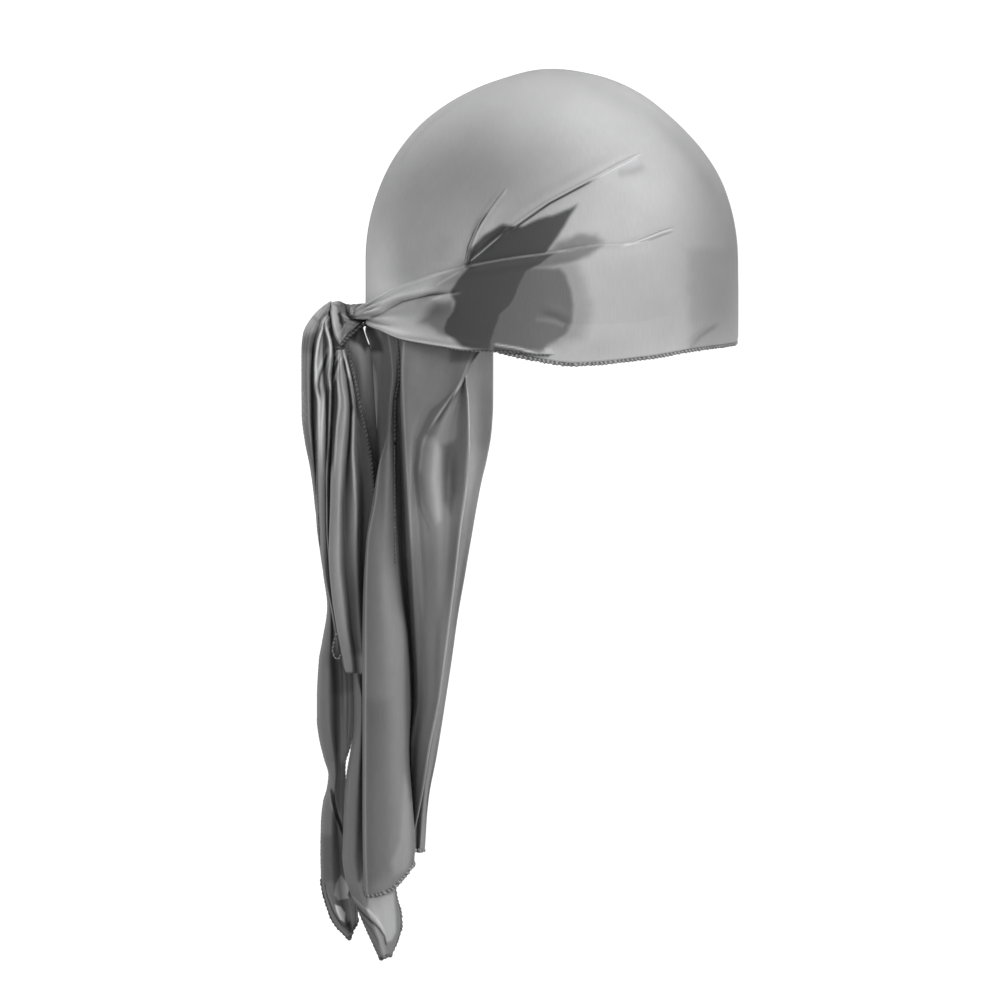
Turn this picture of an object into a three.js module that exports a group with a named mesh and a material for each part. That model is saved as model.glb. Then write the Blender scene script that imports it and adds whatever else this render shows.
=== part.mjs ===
// A durag tied at the nape, in the form that it has on a head.
// Millimetres, +Z up. The wearer faces -Y, and the wearer's right side is -X.
// The origin is on the inside of the crown's top, where the top of the head bears.
import * as THREE from 'three';

// Head form that the crown is stretched over
const headLength = 198; // inside of the crown, forehead to nape
const headWidth = 154; // inside of the crown, side to side
const domeRise = 101; // from the widest level up to the origin
const crownDrop = 145; // from the origin down to the crown's edge at the forehead
const eggShare = 0.07; // how much narrower the head is in front than behind

// Cloth
const cloth = 1.4; // wall of the crown, the straps and the cape
const tailCloth = 1.2; // wall of the tails
const seamGap = 0.3; // clearance between pieces that are sewn or lie together
const capeGap = 0.6; // clearance between the crown's edge and the cape
const hemRoll = 2.4; // diameter of the rolled hem under the crown
const foldRise = 2.6; // height of the tallest fold in the crown
const strapBunch = 2.2; // wall of a strap where it is gathered at the knot

// Knot
const coreDiameter = 11; // strand that runs through the knot
const wrapWidth = 15.5; // band that wraps over that strand
const wrapThickness = 5;

// Hanging cloth
const capeLength = 311;
const shortTailLength = 176;
const longTailLength = 346;
const tailSpread = 54.5; // front to back, over both tails
const tailDepth = 30; // side to side, the measure for both tails
const gatherBunch = 1.8; // wall of a tail where it leaves the knot

const halfLength = headLength / 2;
const halfWidth = headWidth / 2;
const crownBack = halfLength + cloth;
const crownColumns = 64; // facets round the crown, which the straps share
const knotMiddle = 1.05; // how far behind the crown the knot's middle is, as a share of coreDiameter
const knotBack = crownBack + knotMiddle * coreDiameter;
const knotDrop = 0.938 * crownDrop; // from the origin down to the knot's centre

const satin = { color: 0x8f8f8f, roughness: 0.45 };
const bunchedSatin = { color: 0x7d7d7d, roughness: 0.5 };
const thread = { color: 0x6f6f6f, roughness: 0.8 };

// Places a point by how far it is towards the face, towards the wearer's right, and up.
const at = (fore, out, up) => new THREE.Vector3(-out, -fore, up);

const mix = THREE.MathUtils.lerp;
const clamp = THREE.MathUtils.clamp;
const smooth = THREE.MathUtils.smoothstep;
const radians = THREE.MathUtils.degToRad;

// Smooth curve through the values at the knots, with the slope at each knot taken from its neighbours.
function track(knots, values, t) {
  const last = knots.length - 1;
  let k = 0;
  while (k < last - 1 && t > knots[k + 1]) k += 1;
  const slope = (i) => {
    const before = Math.max(i - 1, 0);
    const after = Math.min(i + 1, last);
    return (values[after] - values[before]) / (knots[after] - knots[before]);
  };
  const span = knots[k + 1] - knots[k];
  const s = clamp((t - knots[k]) / span, 0, 1);
  const rise = s * s * (3 - 2 * s);
  const start = values[k] + slope(k) * span * s;
  const end = values[k + 1] - slope(k + 1) * span * (1 - s);
  return mix(start, end, rise);
}

// Turns a list of triangles, given by their corners, into a mesh whose faces point out.
function meshOf(name, look, triangles) {
  const volume = triangles.reduce((sum, [a, b, c]) => sum + a.dot(b.clone().cross(c)), 0);
  const corners = triangles.flatMap(([a, b, c]) => (volume > 0 ? [a, b, c] : [a, c, b]));
  const geometry = new THREE.BufferGeometry().setFromPoints(corners);
  geometry.computeVertexNormals();
  const mesh = new THREE.Mesh(geometry, new THREE.MeshStandardMaterial(look));
  mesh.name = name;
  return mesh;
}

const mergeDistance = 1e-4;
const same = (a, b) => a.distanceTo(b) < mergeDistance;

function addQuad(triangles, a, b, c, d) {
  if (!same(a, b) && !same(b, c) && !same(c, a)) triangles.push([a, b, c]);
  if (!same(a, c) && !same(c, d) && !same(d, a)) triangles.push([a, c, d]);
}

// Closed wall between two grids of points. A round grid joins its last column to its first.
function sheetTriangles(front, back, round = false) {
  const triangles = [];
  const rows = front.length;
  const columns = front[0].length;
  const steps = round ? columns : columns - 1;
  for (let j = 0; j < steps; j += 1) {
    const k = (j + 1) % columns;
    for (let i = 0; i < rows - 1; i += 1) {
      addQuad(triangles, front[i][j], front[i + 1][j], front[i + 1][k], front[i][k]);
      addQuad(triangles, back[i][k], back[i + 1][k], back[i + 1][j], back[i][j]);
    }
    addQuad(triangles, front[rows - 1][j], back[rows - 1][j], back[rows - 1][k], front[rows - 1][k]);
    if (!same(front[0][j], front[0][k])) {
      addQuad(triangles, front[0][k], back[0][k], back[0][j], front[0][j]);
    }
  }
  if (!round) {
    for (let i = 0; i < rows - 1; i += 1) {
      addQuad(triangles, front[i][0], back[i][0], back[i + 1][0], front[i + 1][0]);
      addQuad(triangles, front[i + 1][steps], back[i + 1][steps], back[i][steps], front[i][steps]);
    }
  }
  return triangles;
}

// Closed tube through rings of points, with a flat cap on each end.
function tubeTriangles(rings) {
  const triangles = [];
  const sides = rings[0].length;
  const middle = (ring) => ring.reduce((sum, p) => sum.add(p), new THREE.Vector3()).divideScalar(sides);
  const first = middle(rings[0]);
  const last = middle(rings.at(-1));
  for (let j = 0; j < sides; j += 1) {
    const k = (j + 1) % sides;
    for (let i = 0; i < rings.length - 1; i += 1) {
      addQuad(triangles, rings[i][j], rings[i + 1][j], rings[i + 1][k], rings[i][k]);
    }
    triangles.push([first, rings[0][j], rings[0][k]]);
    triangles.push([last, rings.at(-1)[k], rings.at(-1)[j]]);
  }
  return triangles;
}

// Point on the head form's side, lifted off it by the given distance.
function formPoint(around, up, lift) {
  const level = Math.max(0, up + domeRise) / (domeRise + lift);
  const shrink = Math.sqrt(Math.max(0, 1 - level * level));
  const turn = radians(around);
  const fore = (halfLength + lift) * shrink * Math.cos(turn);
  const out = (halfWidth + lift) * shrink * Math.sin(turn) * (1 - eggShare * Math.cos(turn));
  return at(fore, out, up);
}

// Drop of the crown's edge below the origin, as shares of crownDrop, from the forehead round to the nape
const hemLine = [
  { around: 0, drop: 1.0 },
  { around: 38, drop: 1.022 },
  { around: 62, drop: 1.056 },
  { around: 84, drop: 1.077 },
  { around: 96, drop: 1.05 },
  { around: 110, drop: 1.006 },
  { around: 125, drop: 0.985 },
  { around: 144, drop: 0.962 },
  { around: 160, drop: 0.932 },
  { around: 180, drop: 0.915 },
];

// Angle from the front, the same on both sides of the head
const fromFront = (around) => Math.abs(((around + 180) % 360 + 360) % 360 - 180);

function hemUp(around) {
  const knots = hemLine.map((row) => row.around);
  const drops = hemLine.map((row) => row.drop);
  return -crownDrop * track(knots, drops, fromFront(around));
}

// Folds that the tied straps pull into the crown. Fore is a share of half the head's length,
// down a share of crownDrop, height a share of foldRise, and width a share of half the head's length.
const crownFolds = [
  { name: 'tuck', fore: -0.45, down: 0.68, foreEnd: -0.24, downEnd: 0.4, height: 0.8, width: 0.09 },
  { name: 'long_fold', fore: -0.3, down: 0.63, foreEnd: 0.56, downEnd: 0.3, height: 1.0, width: 0.1 },
];
const foldFade = { top: 0.56, bottom: 0.68 }; // drops between which the folds run out under a strap

// Height of the crown's folds at a place on its side. They also fade at their own ends.
function foldLift(fore, up) {
  let lift = 0;
  for (const fold of crownFolds) {
    const start = new THREE.Vector2(fold.fore * halfLength, -fold.down * crownDrop);
    const along = new THREE.Vector2(fold.foreEnd * halfLength, -fold.downEnd * crownDrop).sub(start);
    const here = new THREE.Vector2(fore, up).sub(start);
    const share = clamp(here.dot(along) / along.lengthSq(), 0, 1);
    const aside = here.distanceTo(along.clone().multiplyScalar(share)) / (fold.width * halfLength);
    const fade = Math.sqrt(Math.sin(Math.PI * clamp(share, 0.08, 1)));
    lift = Math.max(lift, fold.height * foldRise * fade * Math.exp(-aside * aside * 2));
  }
  return lift * (1 - smooth(-up, foldFade.top * crownDrop, foldFade.bottom * crownDrop));
}

// Point of the crown. Down is 0 at the top, 1 at the widest level and 2 at the edge.
function crownPoint(around, down, lift) {
  const tilt = radians(90 * Math.min(down, 1));
  const flat = formPoint(around, -domeRise, lift);
  const shrink = Math.sin(tilt);
  const up = down <= 1
    ? (domeRise + lift) * Math.cos(tilt) - domeRise
    : mix(-domeRise, hemUp(around), down - 1);
  return new THREE.Vector3(flat.x * shrink, flat.y * shrink, up);
}

function foldedCrownPoint(around, down, lift) {
  const bare = crownPoint(around, down, lift);
  return crownPoint(around, down, lift + foldLift(-bare.y, bare.z));
}

function crown() {
  const domeRows = 12;
  const skirtRows = 3;
  const grid = (lift) => {
    const rows = [];
    for (let i = 0; i <= domeRows + skirtRows; i += 1) {
      const down = i <= domeRows ? i / domeRows : 1 + (i - domeRows) / skirtRows;
      const row = [];
      for (let j = 0; j < crownColumns; j += 1) {
        row.push(foldedCrownPoint((360 * j) / crownColumns, down, lift));
      }
      rows.push(row);
    }
    return rows;
  };
  return meshOf('crown', satin, sheetTriangles(grid(cloth), grid(0), true));
}

// Rolled hem under the crown's front and sides
function crownHem() {
  const steps = 38; // facets, which match the crown's
  const reach = (180 * steps) / crownColumns; // degrees each way from the front
  const sides = 6;
  const radius = hemRoll / 2;
  const rings = [];
  for (let i = 0; i <= steps; i += 1) {
    const around = mix(-reach, reach, i / steps);
    const up = hemUp(around) - seamGap - radius;
    const inner = formPoint(around, up, cloth / 2 - radius);
    const outer = formPoint(around, up, cloth / 2 + radius);
    const centre = inner.clone().add(outer).divideScalar(2);
    const aside = outer.clone().sub(inner).setLength(radius);
    const ring = [];
    for (let j = 0; j < sides; j += 1) {
      const turn = (2 * Math.PI * j) / sides;
      const point = centre.clone().addScaledVector(aside, Math.cos(turn));
      point.z += radius * Math.sin(turn);
      ring.push(point);
    }
    rings.push(ring);
  }
  return meshOf('crown_hem', thread, tubeTriangles(rings));
}

// A strap's way from the side of the forehead back to the knot. Top and low are the drops of its edges
// below the origin, as shares of crownDrop.
const strapWay = [
  { around: 33.75, top: 0.7, low: 0.93 },
  { around: 42, top: 0.615, low: 0.99 },
  { around: 50, top: 0.595, low: 1.018 },
  { around: 63, top: 0.637, low: 1.04 },
  { around: 78, top: 0.645, low: 1.055 },
  { around: 92, top: 0.674, low: 1.045 },
  { around: 101, top: 0.688, low: 1.02 },
  { around: 109, top: 0.704, low: 1.004 },
  { around: 117, top: 0.723, low: 1.012 },
  { around: 126, top: 0.746, low: 1.01 },
  { around: 142, top: 0.794, low: 0.992 },
  { around: 155, top: 0.838, low: 0.958 },
  { around: 168.75, top: 0.875, low: 0.932 },
];

const strapEnd = strapWay.at(-1).around;
const bunchStart = 130; // angle from which the straps gather towards the knot
const strapWall = (around) => mix(cloth, strapBunch, smooth(around, bunchStart, strapEnd));

function strapEdge(key, around) {
  const ways = strapWay.map((row) => row.around);
  return -crownDrop * track(ways, strapWay.map((row) => row[key]), around);
}

// Side is 1 for the wearer's right and -1 for the left.
function strap(name, side) {
  const start = strapWay[0].around;
  const lengthSteps = Math.round(((strapEnd - start) * crownColumns) / 360);
  const heightSteps = 6;
  const front = [];
  const back = [];
  for (let i = 0; i <= lengthSteps; i += 1) {
    const around = mix(start, strapEnd, i / lengthSteps);
    const frontRow = [];
    const backRow = [];
    for (let j = 0; j <= heightSteps; j += 1) {
      const up = mix(strapEdge('low', around), strapEdge('top', around), j / heightSteps);
      const bare = formPoint(around, up, cloth);
      const under = cloth + seamGap + foldLift(-bare.y, up);
      frontRow.push(formPoint(side * around, up, under + strapWall(around)));
      backRow.push(formPoint(side * around, up, under));
    }
    front.push(frontRow);
    back.push(backRow);
  }
  return meshOf(name, satin, sheetTriangles(front, back));
}

// Where a strand of the knot takes over from a strap's end
function strandStart(side, clearance) {
  const around = strapEnd + THREE.MathUtils.radToDeg(clearance / halfWidth);
  const low = strapEdge('low', strapEnd);
  const top = strapEdge('top', strapEnd);
  const lift = cloth + seamGap + strapBunch / 2;
  return {
    place: formPoint(side * around, (low + top) / 2, lift),
    tall: top - low,
    thick: strapBunch,
    lie: 0,
  };
}

// Strands of the knot. Back is behind the crown, out is to the wearer's right of the middle and up is
// above the knot's centre, all as shares of coreDiameter. Tall and thick are the strand's section, as
// shares of coreDiameter in the core, and of wrapWidth and wrapThickness in the wrap. Lie turns the
// section from upright, 0, to lying front to back, 1.
const coreWay = [
  { back: 0.135, out: 0.82, up: 0.29, tall: 0.66, thick: 0.23, lie: 0 },
  { back: 0.27, out: 0.35, up: 0.12, tall: 0.78, thick: 0.32, lie: 0 },
  { back: 0.6, out: 0.12, up: 0.04, tall: 0.92, thick: 0.7, lie: 0 },
  { back: 1.05, out: 0, up: 0, tall: 1.0, thick: 1.0, lie: 0 },
  { back: 1.6, out: -0.06, up: 0.08, tall: 1.0, thick: 1.0, lie: 0 },
  { back: 1.95, out: -0.1, up: 0.24, tall: 1.04, thick: 0.8, lie: 0 },
];

const wrapWay = [
  { back: 0.17, out: -0.92, up: 0.5, tall: 0.55, thick: 0.56, lie: 0.1 },
  { back: 0.48, out: -0.55, up: 0.72, tall: 0.62, thick: 0.8, lie: 0.5 },
  { back: 0.92, out: -0.08, up: 0.86, tall: 0.84, thick: 1.0, lie: 0.9 },
  { back: 1.06, out: 0.56, up: 0.58, tall: 1.0, thick: 1.0, lie: 1 },
  { back: 1.06, out: 0.8, up: 0, tall: 0.94, thick: 1.0, lie: 1 },
  { back: 1.16, out: 0.54, up: -0.6, tall: 0.7, thick: 1.0, lie: 1 },
  { back: 1.32, out: 0.32, up: -0.9, tall: 0.44, thick: 0.9, lie: 1 },
];

// A place in the knot, by shares of coreDiameter
function knotPlace(back, out, up) {
  return at(-crownBack - back * coreDiameter, out * coreDiameter, up * coreDiameter - knotDrop);
}

function strandTriangles(side, way, width, thickness) {
  const steps = 18;
  const sides = 12;
  const rows = way.map((row) => ({
    place: knotPlace(row.back, row.out, row.up),
    tall: row.tall * width,
    thick: row.thick * thickness,
    lie: row.lie,
  }));
  rows.unshift(strandStart(side, seamGap), strandStart(side, strapBunch));
  const knots = rows.map((row, k) => k / (rows.length - 1));
  const curve = new THREE.CatmullRomCurve3(rows.map((row) => row.place), false, 'centripetal');
  const rings = [];
  for (let i = 0; i <= steps; i += 1) {
    const t = i / steps;
    const centre = curve.getPoint(t);
    const tangent = curve.getTangent(t);
    const lean = (Math.PI / 2) * track(knots, rows.map((row) => row.lie), t);
    const tallWay = new THREE.Vector3(0, -Math.sin(lean), Math.cos(lean));
    const thickWay = tangent.clone().cross(tallWay).normalize();
    tallWay.crossVectors(thickWay, tangent).normalize();
    const tall = track(knots, rows.map((row) => row.tall), t) / 2;
    const thick = track(knots, rows.map((row) => row.thick), t) / 2;
    const ring = [];
    for (let j = 0; j < sides; j += 1) {
      const turn = (2 * Math.PI * j) / sides;
      const point = centre.clone().addScaledVector(tallWay, tall * Math.cos(turn));
      ring.push(point.addScaledVector(thickWay, thick * Math.sin(turn)));
    }
    rings.push(ring);
  }
  return tubeTriangles(rings);
}

// The core runs from the right strap back to the long tail. The wrap runs from the left strap over the
// core and down its right side to the short tail.
function knotCore() {
  return meshOf('knot_core', bunchedSatin, strandTriangles(1, coreWay, coreDiameter, coreDiameter));
}

function knotWrap() {
  return meshOf('knot_wrap', satin, strandTriangles(-1, wrapWay, wrapWidth, wrapThickness));
}

// Draws together the points of one face where it would run backwards inside a tight fold.
function relaxed(face, middle) {
  const leastStep = 0.15; // share of the middle's step that counts as drawn together
  const keptStep = 0.2; // share of it that is left there
  const rounds = 12;
  const points = face.map((point) => point.clone());
  for (let round = 0; round < rounds; round += 1) {
    for (let j = 0; j < points.length - 1; j += 1) {
      const along = middle[j + 1].clone().sub(middle[j]);
      const step = points[j + 1].clone().sub(points[j]);
      if (step.dot(along) < leastStep * along.lengthSq()) {
        const between = points[j].clone().add(points[j + 1]).divideScalar(2);
        points[j].copy(between).addScaledVector(along, -keptStep / 2);
        points[j + 1].copy(between).addScaledVector(along, keptStep / 2);
      }
    }
  }
  return points;
}

// Hanging cloth, lofted through fold lines. Each fold line gives its place at every station down the
// length; a curve through the folds at one height is the cloth's line there.
function hangingSheet({ folds, stations, placeOf, wallAt, rowsDown, stepsAcross }) {
  const middle = [];
  for (let i = 0; i <= rowsDown; i += 1) {
    const line = folds.map((fold) => placeOf(fold, i / rowsDown, stations));
    const curve = new THREE.CatmullRomCurve3(line, false, 'centripetal');
    middle.push(curve.getPoints(stepsAcross * (folds.length - 1)));
  }
  const columns = middle[0].length;
  const face = (side) => middle.map((row, i) => {
    const above = middle[Math.max(i - 1, 0)];
    const below = middle[Math.min(i + 1, rowsDown)];
    const half = (side * wallAt(i / rowsDown)) / 2;
    const lifted = row.map((point, j) => {
      const across = row[Math.min(j + 1, columns - 1)].clone().sub(row[Math.max(j - 1, 0)]);
      const down = below[j].clone().sub(above[j]);
      return point.clone().addScaledVector(across.cross(down).normalize(), half);
    });
    return relaxed(lifted, row);
  });
  return sheetTriangles(face(1), face(-1));
}

// Cape that hangs from the crown's edge round the back of the neck. Each fold starts on the head form at
// the angle given. Fore and out are its places at the later stations, as shares of half the head's length
// and width. Length is a share of capeLength.
const capeStations = [0, 0.09, 0.25, 0.42, 0.66, 1];
const capeFolds = [
  {
    name: 'right_edge',
    around: 111,
    length: 0.89,
    fore: [-0.44, -0.455, -0.5, -0.585, -0.755],
    out: [0.76, 0.62, 0.56, 0.48, 0.36],
  },
  {
    name: 'right_valley',
    around: 119,
    length: 0.89,
    fore: [-0.54, -0.54, -0.58, -0.65, -0.765],
    out: [0.68, 0.5, 0.46, 0.42, 0.29],
  },
  {
    name: 'right_ridge',
    around: 127,
    length: 0.89,
    fore: [-0.63, -0.64, -0.67, -0.7, -0.765],
    out: [0.72, 0.6, 0.53, 0.44, 0.22],
  },
  {
    name: 'right_turn',
    around: 138,
    length: 0.9,
    fore: [-0.785, -0.785, -0.765, -0.74, -0.77],
    out: [0.64, 0.57, 0.5, 0.4, 0.14],
  },
  {
    name: 'right_gully',
    around: 147,
    length: 0.92,
    fore: [-0.825, -0.825, -0.81, -0.775, -0.82],
    out: [0.5, 0.4, 0.34, 0.26, 0.07],
  },
  {
    name: 'right_strip',
    around: 156,
    length: 0.948,
    fore: [-0.875, -0.87, -0.865, -0.83, -0.81],
    out: [0.44, 0.47, 0.46, 0.42, 0.4],
  },
  {
    name: 'right_back',
    around: 165,
    length: 1,
    fore: [-0.92, -0.935, -1.01, -1.02, -1],
    out: [0.28, 0.32, 0.34, 0.33, 0.32],
  },
  {
    name: 'nape',
    around: 180,
    length: 0.94,
    fore: [-0.9, -0.88, -0.88, -0.88, -0.88],
    out: [0, 0, 0, 0, 0],
  },
  {
    name: 'left_back',
    around: 195,
    length: 0.965,
    fore: [-1.09, -1.09, -1.04, -1, -0.97],
    out: [-0.26, -0.3, -0.33, -0.31, -0.28],
  },
  {
    name: 'left_gully',
    around: 207,
    length: 0.95,
    fore: [-0.86, -0.83, -0.82, -0.81, -0.85],
    out: [-0.46, -0.38, -0.34, -0.3, -0.25],
  },
  {
    name: 'left_ridge',
    around: 222,
    length: 0.952,
    fore: [-0.76, -0.72, -0.7, -0.71, -0.8],
    out: [-0.68, -0.63, -0.56, -0.5, -0.41],
  },
  {
    name: 'left_valley',
    around: 236,
    length: 0.952,
    fore: [-0.55, -0.53, -0.56, -0.62, -0.755],
    out: [-0.7, -0.58, -0.5, -0.42, -0.35],
  },
  {
    name: 'left_edge',
    around: 249,
    length: 0.952,
    fore: [-0.325, -0.375, -0.463, -0.574, -0.712],
    out: [-0.8, -0.66, -0.58, -0.48, -0.42],
  },
];

function cape() {
  const lift = 0.1 * cloth; // the cape starts inside the straps, flush with the crown's wall
  const napeUp = hemUp(180) - capeGap;
  const placeOf = (fold, t, stations) => {
    const topUp = hemUp(fold.around) - capeGap;
    const start = formPoint(fold.around, -domeRise, lift);
    const fore = [-start.y, ...fold.fore.map((share) => share * halfLength)];
    const out = [-start.x, ...fold.out.map((share) => share * halfWidth)];
    const endUp = napeUp - fold.length * capeLength;
    return at(track(stations, fore, t), track(stations, out, t), mix(topUp, endUp, t));
  };
  return meshOf('cape', satin, hangingSheet({
    folds: capeFolds,
    stations: capeStations,
    placeOf,
    wallAt: () => cloth,
    rowsDown: 14,
    stepsAcross: 3,
  }));
}

// Short tail, which is the left strap's end and hangs on the wearer's right of the long one. A fold starts
// in the knot, at shares of coreDiameter like the strands. Fore of the knot's middle and out are its
// places at the later stations, as shares of tailSpread and tailDepth.
const shortTailStations = [0, 0.14, 0.34, 0.6, 1];
const shortTailFolds = [
  {
    name: 'left_edge',
    length: 0.94,
    startBack: 1.595,
    startOut: 0.055,
    fore: [-0.126, -0.155, -0.175, -0.105],
    out: [0.1, 0.12, 0.14, 0.14],
  },
  {
    name: 'left_valley',
    length: 0.96,
    startBack: 1.506,
    startOut: 0.218,
    fore: [-0.1, -0.125, -0.15, -0.06],
    out: [0.22, 0.26, 0.28, 0.3],
  },
  {
    name: 'main_ridge',
    length: 0.99,
    startBack: 1.397,
    startOut: 0.355,
    fore: [-0.065, -0.1, -0.13, -0.012],
    out: [0.42, 0.52, 0.54, 0.5],
  },
  {
    name: 'face_valley',
    length: 1,
    startBack: 1.298,
    startOut: 0.436,
    fore: [-0.01, 0, -0.01, 0.06],
    out: [0.24, 0.26, 0.3, 0.32],
  },
  {
    name: 'second_ridge',
    length: 1,
    startBack: 1.199,
    startOut: 0.355,
    fore: [0.045, 0.09, 0.12, 0.13],
    out: [0.38, 0.44, 0.44, 0.42],
  },
  {
    name: 'right_edge',
    length: 1,
    startBack: 1.109,
    startOut: 0.164,
    fore: [0.08, 0.23, 0.225, 0.184],
    out: [0.16, 0.16, 0.18, 0.2],
  },
];

// Long tail, which is the right strap's end. It leaves the knot over a shoulder, narrows behind the
// short tail and ends in two lobes. The columns are as for the short tail, with the fold's start height.
const longTailStations = [0, 0.05, 0.14, 0.25, 0.34, 0.46, 0.6, 0.71, 0.82, 1];
const longTailFolds = [
  {
    name: 'left_edge',
    length: 0.95,
    startBack: 2.041,
    startOut: -0.055,
    startUp: 0.98,
    fore: [-0.445, -0.443, -0.34, -0.262, -0.186, -0.291, -0.175, -0.256, -0.165],
    out: [-0.05, -0.04, -0.04, -0.1, -0.2, -0.2, -0.16, -0.18, -0.2],
  },
  {
    name: 'panel',
    length: 0.975,
    startBack: 2.214,
    startOut: -0.164,
    startUp: 0.72,
    fore: [-0.39, -0.37, -0.29, -0.215, -0.14, -0.215, -0.12, -0.18, -0.06],
    out: [-0.12, -0.2, -0.22, -0.26, -0.34, -0.04, -0.06, -0.04, -0.08],
  },
  {
    name: 'left_fold',
    length: 0.97,
    startBack: 2.348,
    startOut: -0.218,
    startUp: 0.44,
    fore: [-0.33, -0.29, -0.235, -0.17, -0.085, -0.12, -0.06, -0.08, 0.05],
    out: [-0.06, -0.04, -0.06, -0.12, -0.22, -0.2, -0.2, -0.22, -0.22],
  },
  {
    name: 'gully',
    length: 0.95,
    startBack: 2.378,
    startOut: -0.273,
    startUp: 0.16,
    fore: [-0.27, -0.21, -0.17, -0.12, -0.03, -0.03, 0, 0, 0.15],
    out: [-0.14, -0.22, -0.24, -0.28, -0.34, -0.36, -0.38, -0.38, -0.38],
  },
  {
    name: 'right_fold',
    length: 0.98,
    startBack: 2.378,
    startOut: -0.327,
    startUp: -0.1,
    fore: [-0.215, -0.14, -0.105, -0.06, 0.03, 0.06, 0.07, 0.1, 0.26],
    out: [-0.1, -0.1, -0.12, -0.18, -0.22, -0.2, -0.2, -0.2, -0.2],
  },
  {
    name: 'right_panel',
    length: 1,
    startBack: 2.348,
    startOut: -0.382,
    startUp: -0.36,
    fore: [-0.165, -0.07, -0.04, 0, 0.09, 0.12, 0.14, 0.18, 0.39],
    out: [-0.16, -0.26, -0.28, -0.32, -0.36, -0.1, -0.1, -0.1, -0.12],
  },
  {
    name: 'right_edge',
    length: 0.955,
    startBack: 2.289,
    startOut: -0.436,
    startUp: -0.6,
    fore: [-0.11, -0.02, 0.03, 0.06, 0.15, 0.18, 0.2, 0.26, 0.53],
    out: [-0.14, -0.16, -0.18, -0.22, -0.26, -0.26, -0.22, -0.2, -0.2],
  },
];

// Place of a tail's fold, from its start in the knot and its later stations
function tailPlace(fold, t, stations, up) {
  const start = knotPlace(fold.startBack, fold.startOut, 0);
  const fore = [-start.y, ...fold.fore.map((share) => share * tailSpread - knotBack)];
  const out = [-start.x, ...fold.out.map((share) => share * tailDepth)];
  return at(track(stations, fore, t), track(stations, out, t), up);
}

const gatherLength = 0.12; // share of a tail's length in which it thins from its bunched start
const tailWall = (t) => mix(gatherBunch, tailCloth, smooth(t, 0, gatherLength));

function shortTail() {
  const wrapEnd = wrapWay.at(-1);
  const wrapUp = knotPlace(wrapEnd.back, wrapEnd.out, wrapEnd.up).z;
  const topUp = wrapUp - wrapEnd.thick * wrapThickness / 2 - seamGap;
  const placeOf = (fold, t, stations) =>
    tailPlace(fold, t, stations, topUp - t * fold.length * shortTailLength);
  return meshOf('short_tail', satin, hangingSheet({
    folds: shortTailFolds,
    stations: shortTailStations,
    placeOf,
    wallAt: tailWall,
    rowsDown: 12,
    stepsAcross: 4,
  }));
}

function longTail() {
  const shoulder = 0.2; // share of the length in which the tail goes back before it drops
  const placeOf = (fold, t, stations) => {
    const startUp = fold.startUp * coreDiameter - knotDrop;
    const endUp = -knotDrop - fold.length * longTailLength;
    const down = mix(t * t, t, smooth(t, 0, shoulder));
    return tailPlace(fold, t, stations, mix(startUp, endUp, down));
  };
  return meshOf('long_tail', satin, hangingSheet({
    folds: longTailFolds,
    stations: longTailStations,
    placeOf,
    wallAt: tailWall,
    rowsDown: 24,
    stepsAcross: 3,
  }));
}

const durag = new THREE.Group();
durag.add(
  crown(),
  crownHem(),
  strap('strap_right', 1),
  strap('strap_left', -1),
  knotCore(),
  knotWrap(),
  cape(),
  shortTail(),
  longTail(),
);

export default durag;
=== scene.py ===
"""A grey satin durag tied at the nape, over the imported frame. Millimetres are used until a mesh is made."""

import math

import bpy
import numpy as np
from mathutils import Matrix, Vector


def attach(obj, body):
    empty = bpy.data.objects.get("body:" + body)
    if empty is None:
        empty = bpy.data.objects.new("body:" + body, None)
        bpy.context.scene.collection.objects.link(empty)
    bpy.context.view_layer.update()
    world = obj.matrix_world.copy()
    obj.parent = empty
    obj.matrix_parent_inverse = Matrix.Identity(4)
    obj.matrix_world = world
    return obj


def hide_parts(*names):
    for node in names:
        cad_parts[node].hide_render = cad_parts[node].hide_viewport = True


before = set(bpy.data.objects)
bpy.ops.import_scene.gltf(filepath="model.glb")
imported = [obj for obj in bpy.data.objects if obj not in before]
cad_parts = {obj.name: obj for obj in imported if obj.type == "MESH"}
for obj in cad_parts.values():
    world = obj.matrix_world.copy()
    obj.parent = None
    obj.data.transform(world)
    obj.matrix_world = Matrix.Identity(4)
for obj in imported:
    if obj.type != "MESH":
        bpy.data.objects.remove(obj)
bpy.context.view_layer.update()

# Camera. Pixels are those of a 1000 x 1000 picture.
TILT = math.radians(2.5)
REACH = 2600.0
SCALE = 0.545
AIM = (0.0, 28.3, -232.0)
COS, SIN = math.cos(TILT), math.sin(TILT)

# Head form that the crown is stretched over
HALF_LENGTH, HALF_WIDTH, DOME_RISE, CROWN_DROP, EGG = 99.0, 77.0, 101.0, 145.0, 0.07
CLOTH = 1.4
MIRROR = np.array([-1, 1, 1])

# Overlock thread: corners of its round section, and its rows along an edge
THREAD_SIDES = 8
THREAD_SPACING = 0.42


def seen(px, py, out):
    """Point that shows at a pixel, at a distance to the wearer's right of the middle."""
    px, py, x = np.broadcast_arrays(np.asarray(px, float), np.asarray(py, float), -np.asarray(out, float))
    drop = (500 - py) * SCALE
    for _ in range(5):
        f = REACH / (REACH + x * COS - drop * SIN) / SCALE
        drop = ((500 - py) / f - x * SIN) / COS
    return np.stack([x, AIM[1] - (px - 500) / f, drop + AIM[2]], -1)


def shown(p):
    """Pixel at which a point shows."""
    x, y, dz = p[..., 0], p[..., 1], p[..., 2] - AIM[2]
    f = REACH / (REACH + x * COS - dz * SIN) / SCALE
    return np.stack([500 - (y - AIM[1]) * f, 500 - (x * SIN + dz * COS) * f], -1)


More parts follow.
